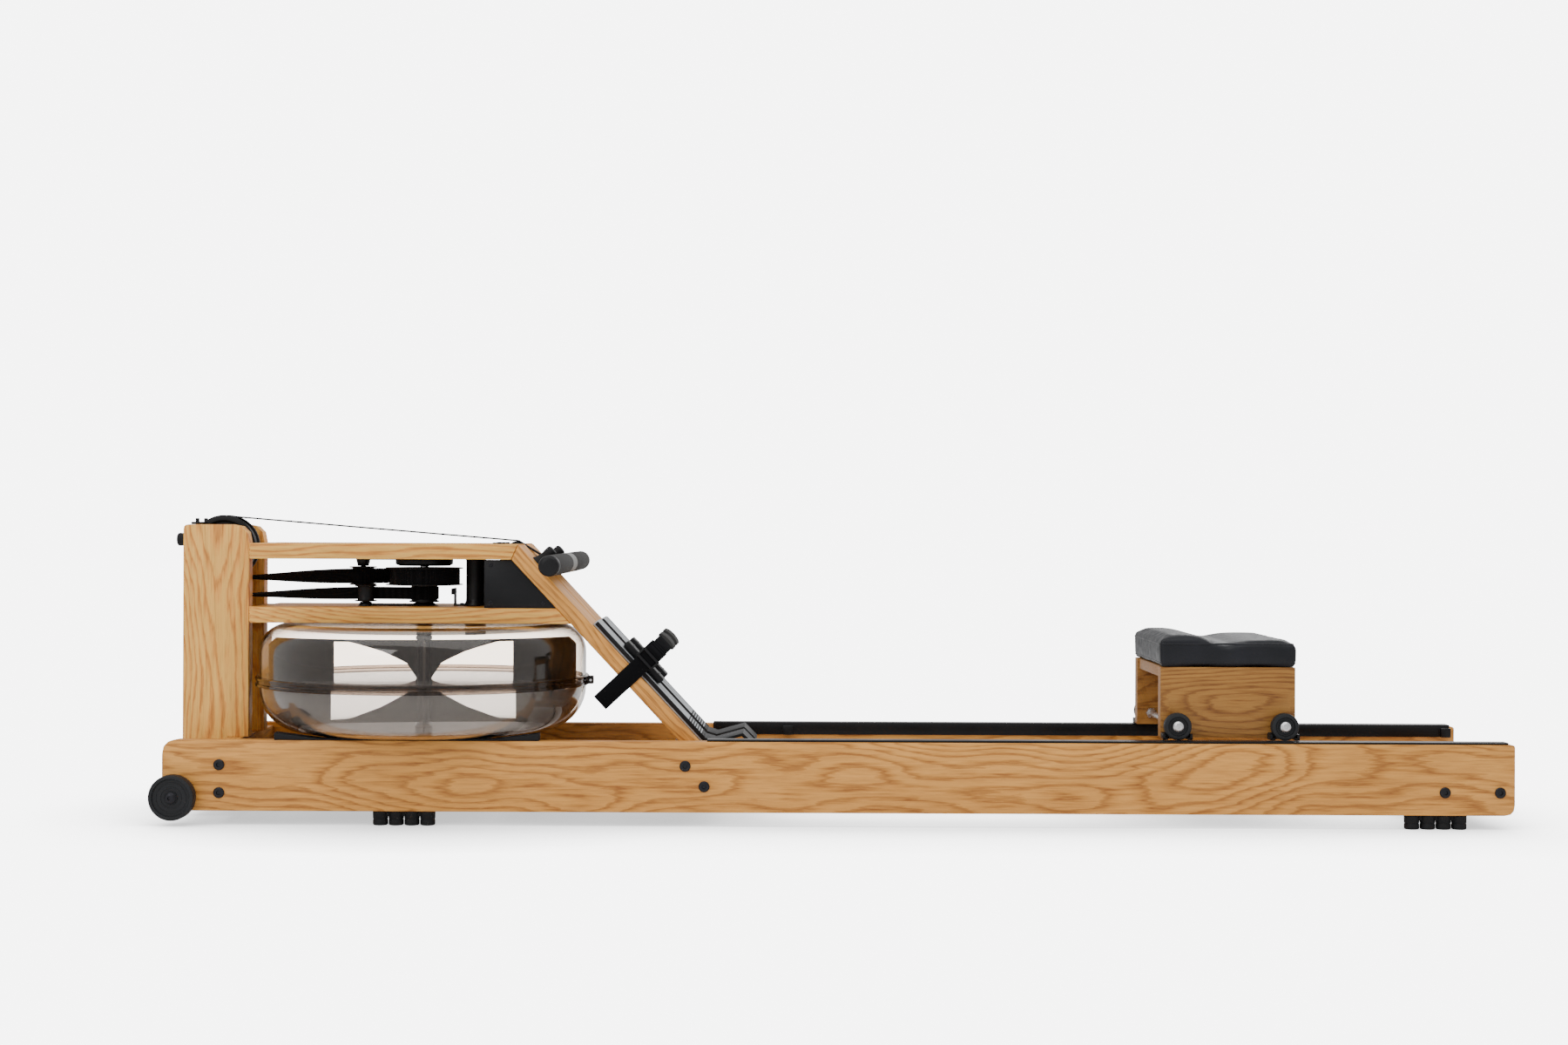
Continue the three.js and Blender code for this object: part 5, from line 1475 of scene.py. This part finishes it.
def makeSeams(cushion):
    # piping follows the pad's outline at two heights, laid on the swollen leather
    low, high = lowHigh("seat_cushion")
    tree = surfaceTree(cushion)
    centre = (low + high) / 2
    bm = bmesh.new()
    for level, reach in ((high.z - 12 * mm, seat["seamRadius"]),
                         (low.z + 6 * mm, seat["seamRadius"] * 0.8)):
        stations = []
        for index in range(seat["seamSteps"]):
            angle = math.tau * index / seat["seamSteps"]
            direction = Vector((math.cos(angle) * (high.x - low.x), math.sin(angle) * (high.y - low.y),
                                0)).normalized()
            origin = Vector((centre.x, centre.y, level)) + direction * 0.4
            hit = tree.ray_cast(origin, -direction)[0]
            if hit is not None:
                stations.append((hit - direction * reach * 0.35, acrossZ))
        circle = [(reach * math.cos(math.tau * k / 8), reach * math.sin(math.tau * k / 8))
                  for k in range(8)]
        sweepSection(bm, stations, circle, closed=True)
    pieceFrom(bm, "seatPiping", seatLeather, "seat", smoothAngle=80)


def surfaceTree(piece):
    bm = bmesh.new()
    bm.from_mesh(piece.data)
    tree = BVHTree.FromBMesh(bm)
    bm.free()
    return tree


def makeSeatAxles():
    for end in ("front", "rear"):
        node = "seat_axle_" + end
        centre = middleOf(node)
        reach = sizeOf(node).y / 2
        wheelLow, wheelHigh = lowHigh("seat_wheel_" + end + "_right")
        panel = lowHigh("seat_side_right")[1].y
        thin, thick = 5 * mm, 8 * mm
        profile = [(0, -reach), (thick - 3 * mm, -reach), (thick, -wheelHigh.y - 0.8 * mm),
                   (thin, -wheelHigh.y - 0.8 * mm)]
        profile += [(thin, -wheelLow.y + 0.8 * mm), (thick, -wheelLow.y + 0.8 * mm),
                    (thick, -panel - 0.3 * mm),
                    (thin, -panel - 0.3 * mm)]
        profile += [(r, -h) for r, h in reversed(profile)]
        bm = turned(profile, "y", centre, 40)
        pieceFrom(bm, "seatAxle_" + end, brightSteel, "seat", (node,))
        bm = bmesh.new()
        inner = lowHigh("seat_side_right")[0].y
        for sign in (-1, 1):
            addBoltHead(bm, (centre.x, sign * (reach - 0.6 * mm), centre.z), sign, 6.5 * mm, 2.2 * mm)
            start = sign * (inner - 0.3 * mm)
            addTurned(bm, [(5.4 * mm, 0), (9 * mm, 0), (9 * mm, 7 * mm), (5.4 * mm, 7 * mm)], "y",
                      (centre.x, min(start, start - sign * 7 * mm), centre.z), 6)
        pieceFrom(bm, "seatAxleNuts_" + end, brightSteel, "seat")


wheels = {"tread": 2.2 * mm, "boreGap": 5.4 * mm}


def wheelProfile(radius, bore, width, recess):
    edge = wheels["tread"]
    return [(bore, 0), (radius - edge, 0), (radius - edge * 0.3, edge * 0.3), (radius, edge),
            (radius, width - edge),
            (radius - edge * 0.3, width - edge * 0.3), (radius - edge, width), (radius - 5.4 * mm, width),
            (radius - 6 * mm, width - 0.6 * mm), (radius - 6.4 * mm, width - recess),
            (bore + 5 * mm, width - recess),
            (bore + 4.6 * mm, width - 0.3 * mm), (bore, width - 0.3 * mm)]


def makeWheel(node, body, material, recess, rings):
    low, high = lowHigh(node)
    centre = (low + high) / 2
    sign = 1 if centre.y > 0 else -1
    width = high.y - low.y
    radius = (high.x - low.x) / 2
    near = low.y if sign > 0 else high.y
    profile = [(r, sign * h) for r, h in wheelProfile(radius, wheels["boreGap"], width, recess)]
    bm = turned(profile, "y", (centre.x, near, centre.z), 64)
    outside = near + sign * (width - recess)
    for ring in rings:
        bulge = [(ring - 1.0 * mm, -sign * 0.5 * mm), (ring - 0.7 * mm, sign * 0.9 * mm),
                 (ring + 0.7 * mm, sign * 0.9 * mm),
                 (ring + 1.0 * mm, -sign * 0.5 * mm)]
        addTurned(bm, bulge, "y", (centre.x, outside, centre.z), 56)
    pieceFrom(bm, node + "_finish", material, body, (node,))
    return centre, outside, sign


def makeWheelGuards():
    # a bracket on each side panel reaches under the edge of the rail ahead of and behind the wheel
    for side, sign in sides:
        bm = bmesh.new()
        panel = lowHigh("seat_side_" + side)
        outer = panel[0].y if sign < 0 else panel[1].y
        for end in ("front", "rear"):
            low, high = lowHigh("seat_wheel_" + end + "_" + side)
            middle = (low + high) / 2
            radius = (high.x - low.x) / 2
            for step in (-1, 1):
                far = middle.y + sign * 4 * mm
                y0, y1 = sorted((outer + sign * 0.2 * mm, far))
                for start, end, height in ((radius - 6 * mm, radius + 1 * mm, 3.8 * mm),
                                           (radius - 2 * mm, radius + 2 * mm, 10 * mm)):
                    x0, x1 = sorted((middle.x + step * start, middle.x + step * end))
                    addBlock(bm, (x0, y0, low.z + 0.6 * mm), (x1, y1, low.z + height), None, 0.8 * mm)
            y0, y1 = sorted((outer + sign * 0.2 * mm, outer + sign * 2.6 * mm))
            addBlock(bm, (middle.x - radius - 1 * mm, y0, low.z + 0.6 * mm),
                     (middle.x + radius + 1 * mm, y1, low.z + 11 * mm), None, 1 * mm)
        pieceFrom(bm, "wheelGuards_" + side, blackPlastic, "seat")


def makeWheels():
    for end in ("front", "rear"):
        for side in ("left", "right"):
            node = "seat_wheel_" + end + "_" + side
            centre, outside, sign = makeWheel(node, node, wheelRubber, 3 * mm, (12.6 * mm,))
            bm = bmesh.new()
            hub = [(5.6 * mm, -sign * 0.5 * mm), (10 * mm, -sign * 0.5 * mm), (10 * mm, sign * 2.0 * mm),
                   (8.8 * mm, sign * 2.6 * mm), (5.6 * mm, sign * 2.6 * mm)]
            addTurned(bm, hub, "y", (centre.x, outside, centre.z), 40)
            pieceFrom(bm, node + "_hub", brightSteel, node)
    makeWheelGuards()
    for side in ("left", "right"):
        node = "transport_wheel_" + side
        makeWheel(node, node, wheelRubber, 3 * mm, (16 * mm, 23 * mm))
    low, high = lowHigh("transport_axle")
    centre = (low + high) / 2
    outer = lowHigh("transport_wheel_right")[1].y
    profile = [(0, low.y), (6 * mm, low.y), (8 * mm, low.y + 0.8 * mm), (9 * mm, -outer - 0.8 * mm),
               (5 * mm, -outer - 0.8 * mm)]
    profile += [(r, -h) for r, h in reversed(profile)]
    bm = turned(profile, "y", (centre.x, 0, centre.z), 40)
    pieceFrom(bm, "transportAxle", blackSteel, "frame", ("transport_axle",))
    bm = bmesh.new()
    for sign in (-1, 1):
        addBoltHead(bm, (centre.x, sign * (high.y - 0.5 * mm), centre.z), sign, 7.5 * mm, 2.4 * mm)
    pieceFrom(bm, "transportCaps", blackSteel, "frame")
    print("wheels done")


makeCamera()
makeStudio()
makeBoards()
makeHardware()
makeTrim()
makeTank()
makeDrums()
makeBearings()
makeDriveStraps()
makeHandle()
makeFootPlates()
makeFootStraps()
makeCushion()
makeSeatAxles()
makeWheels()
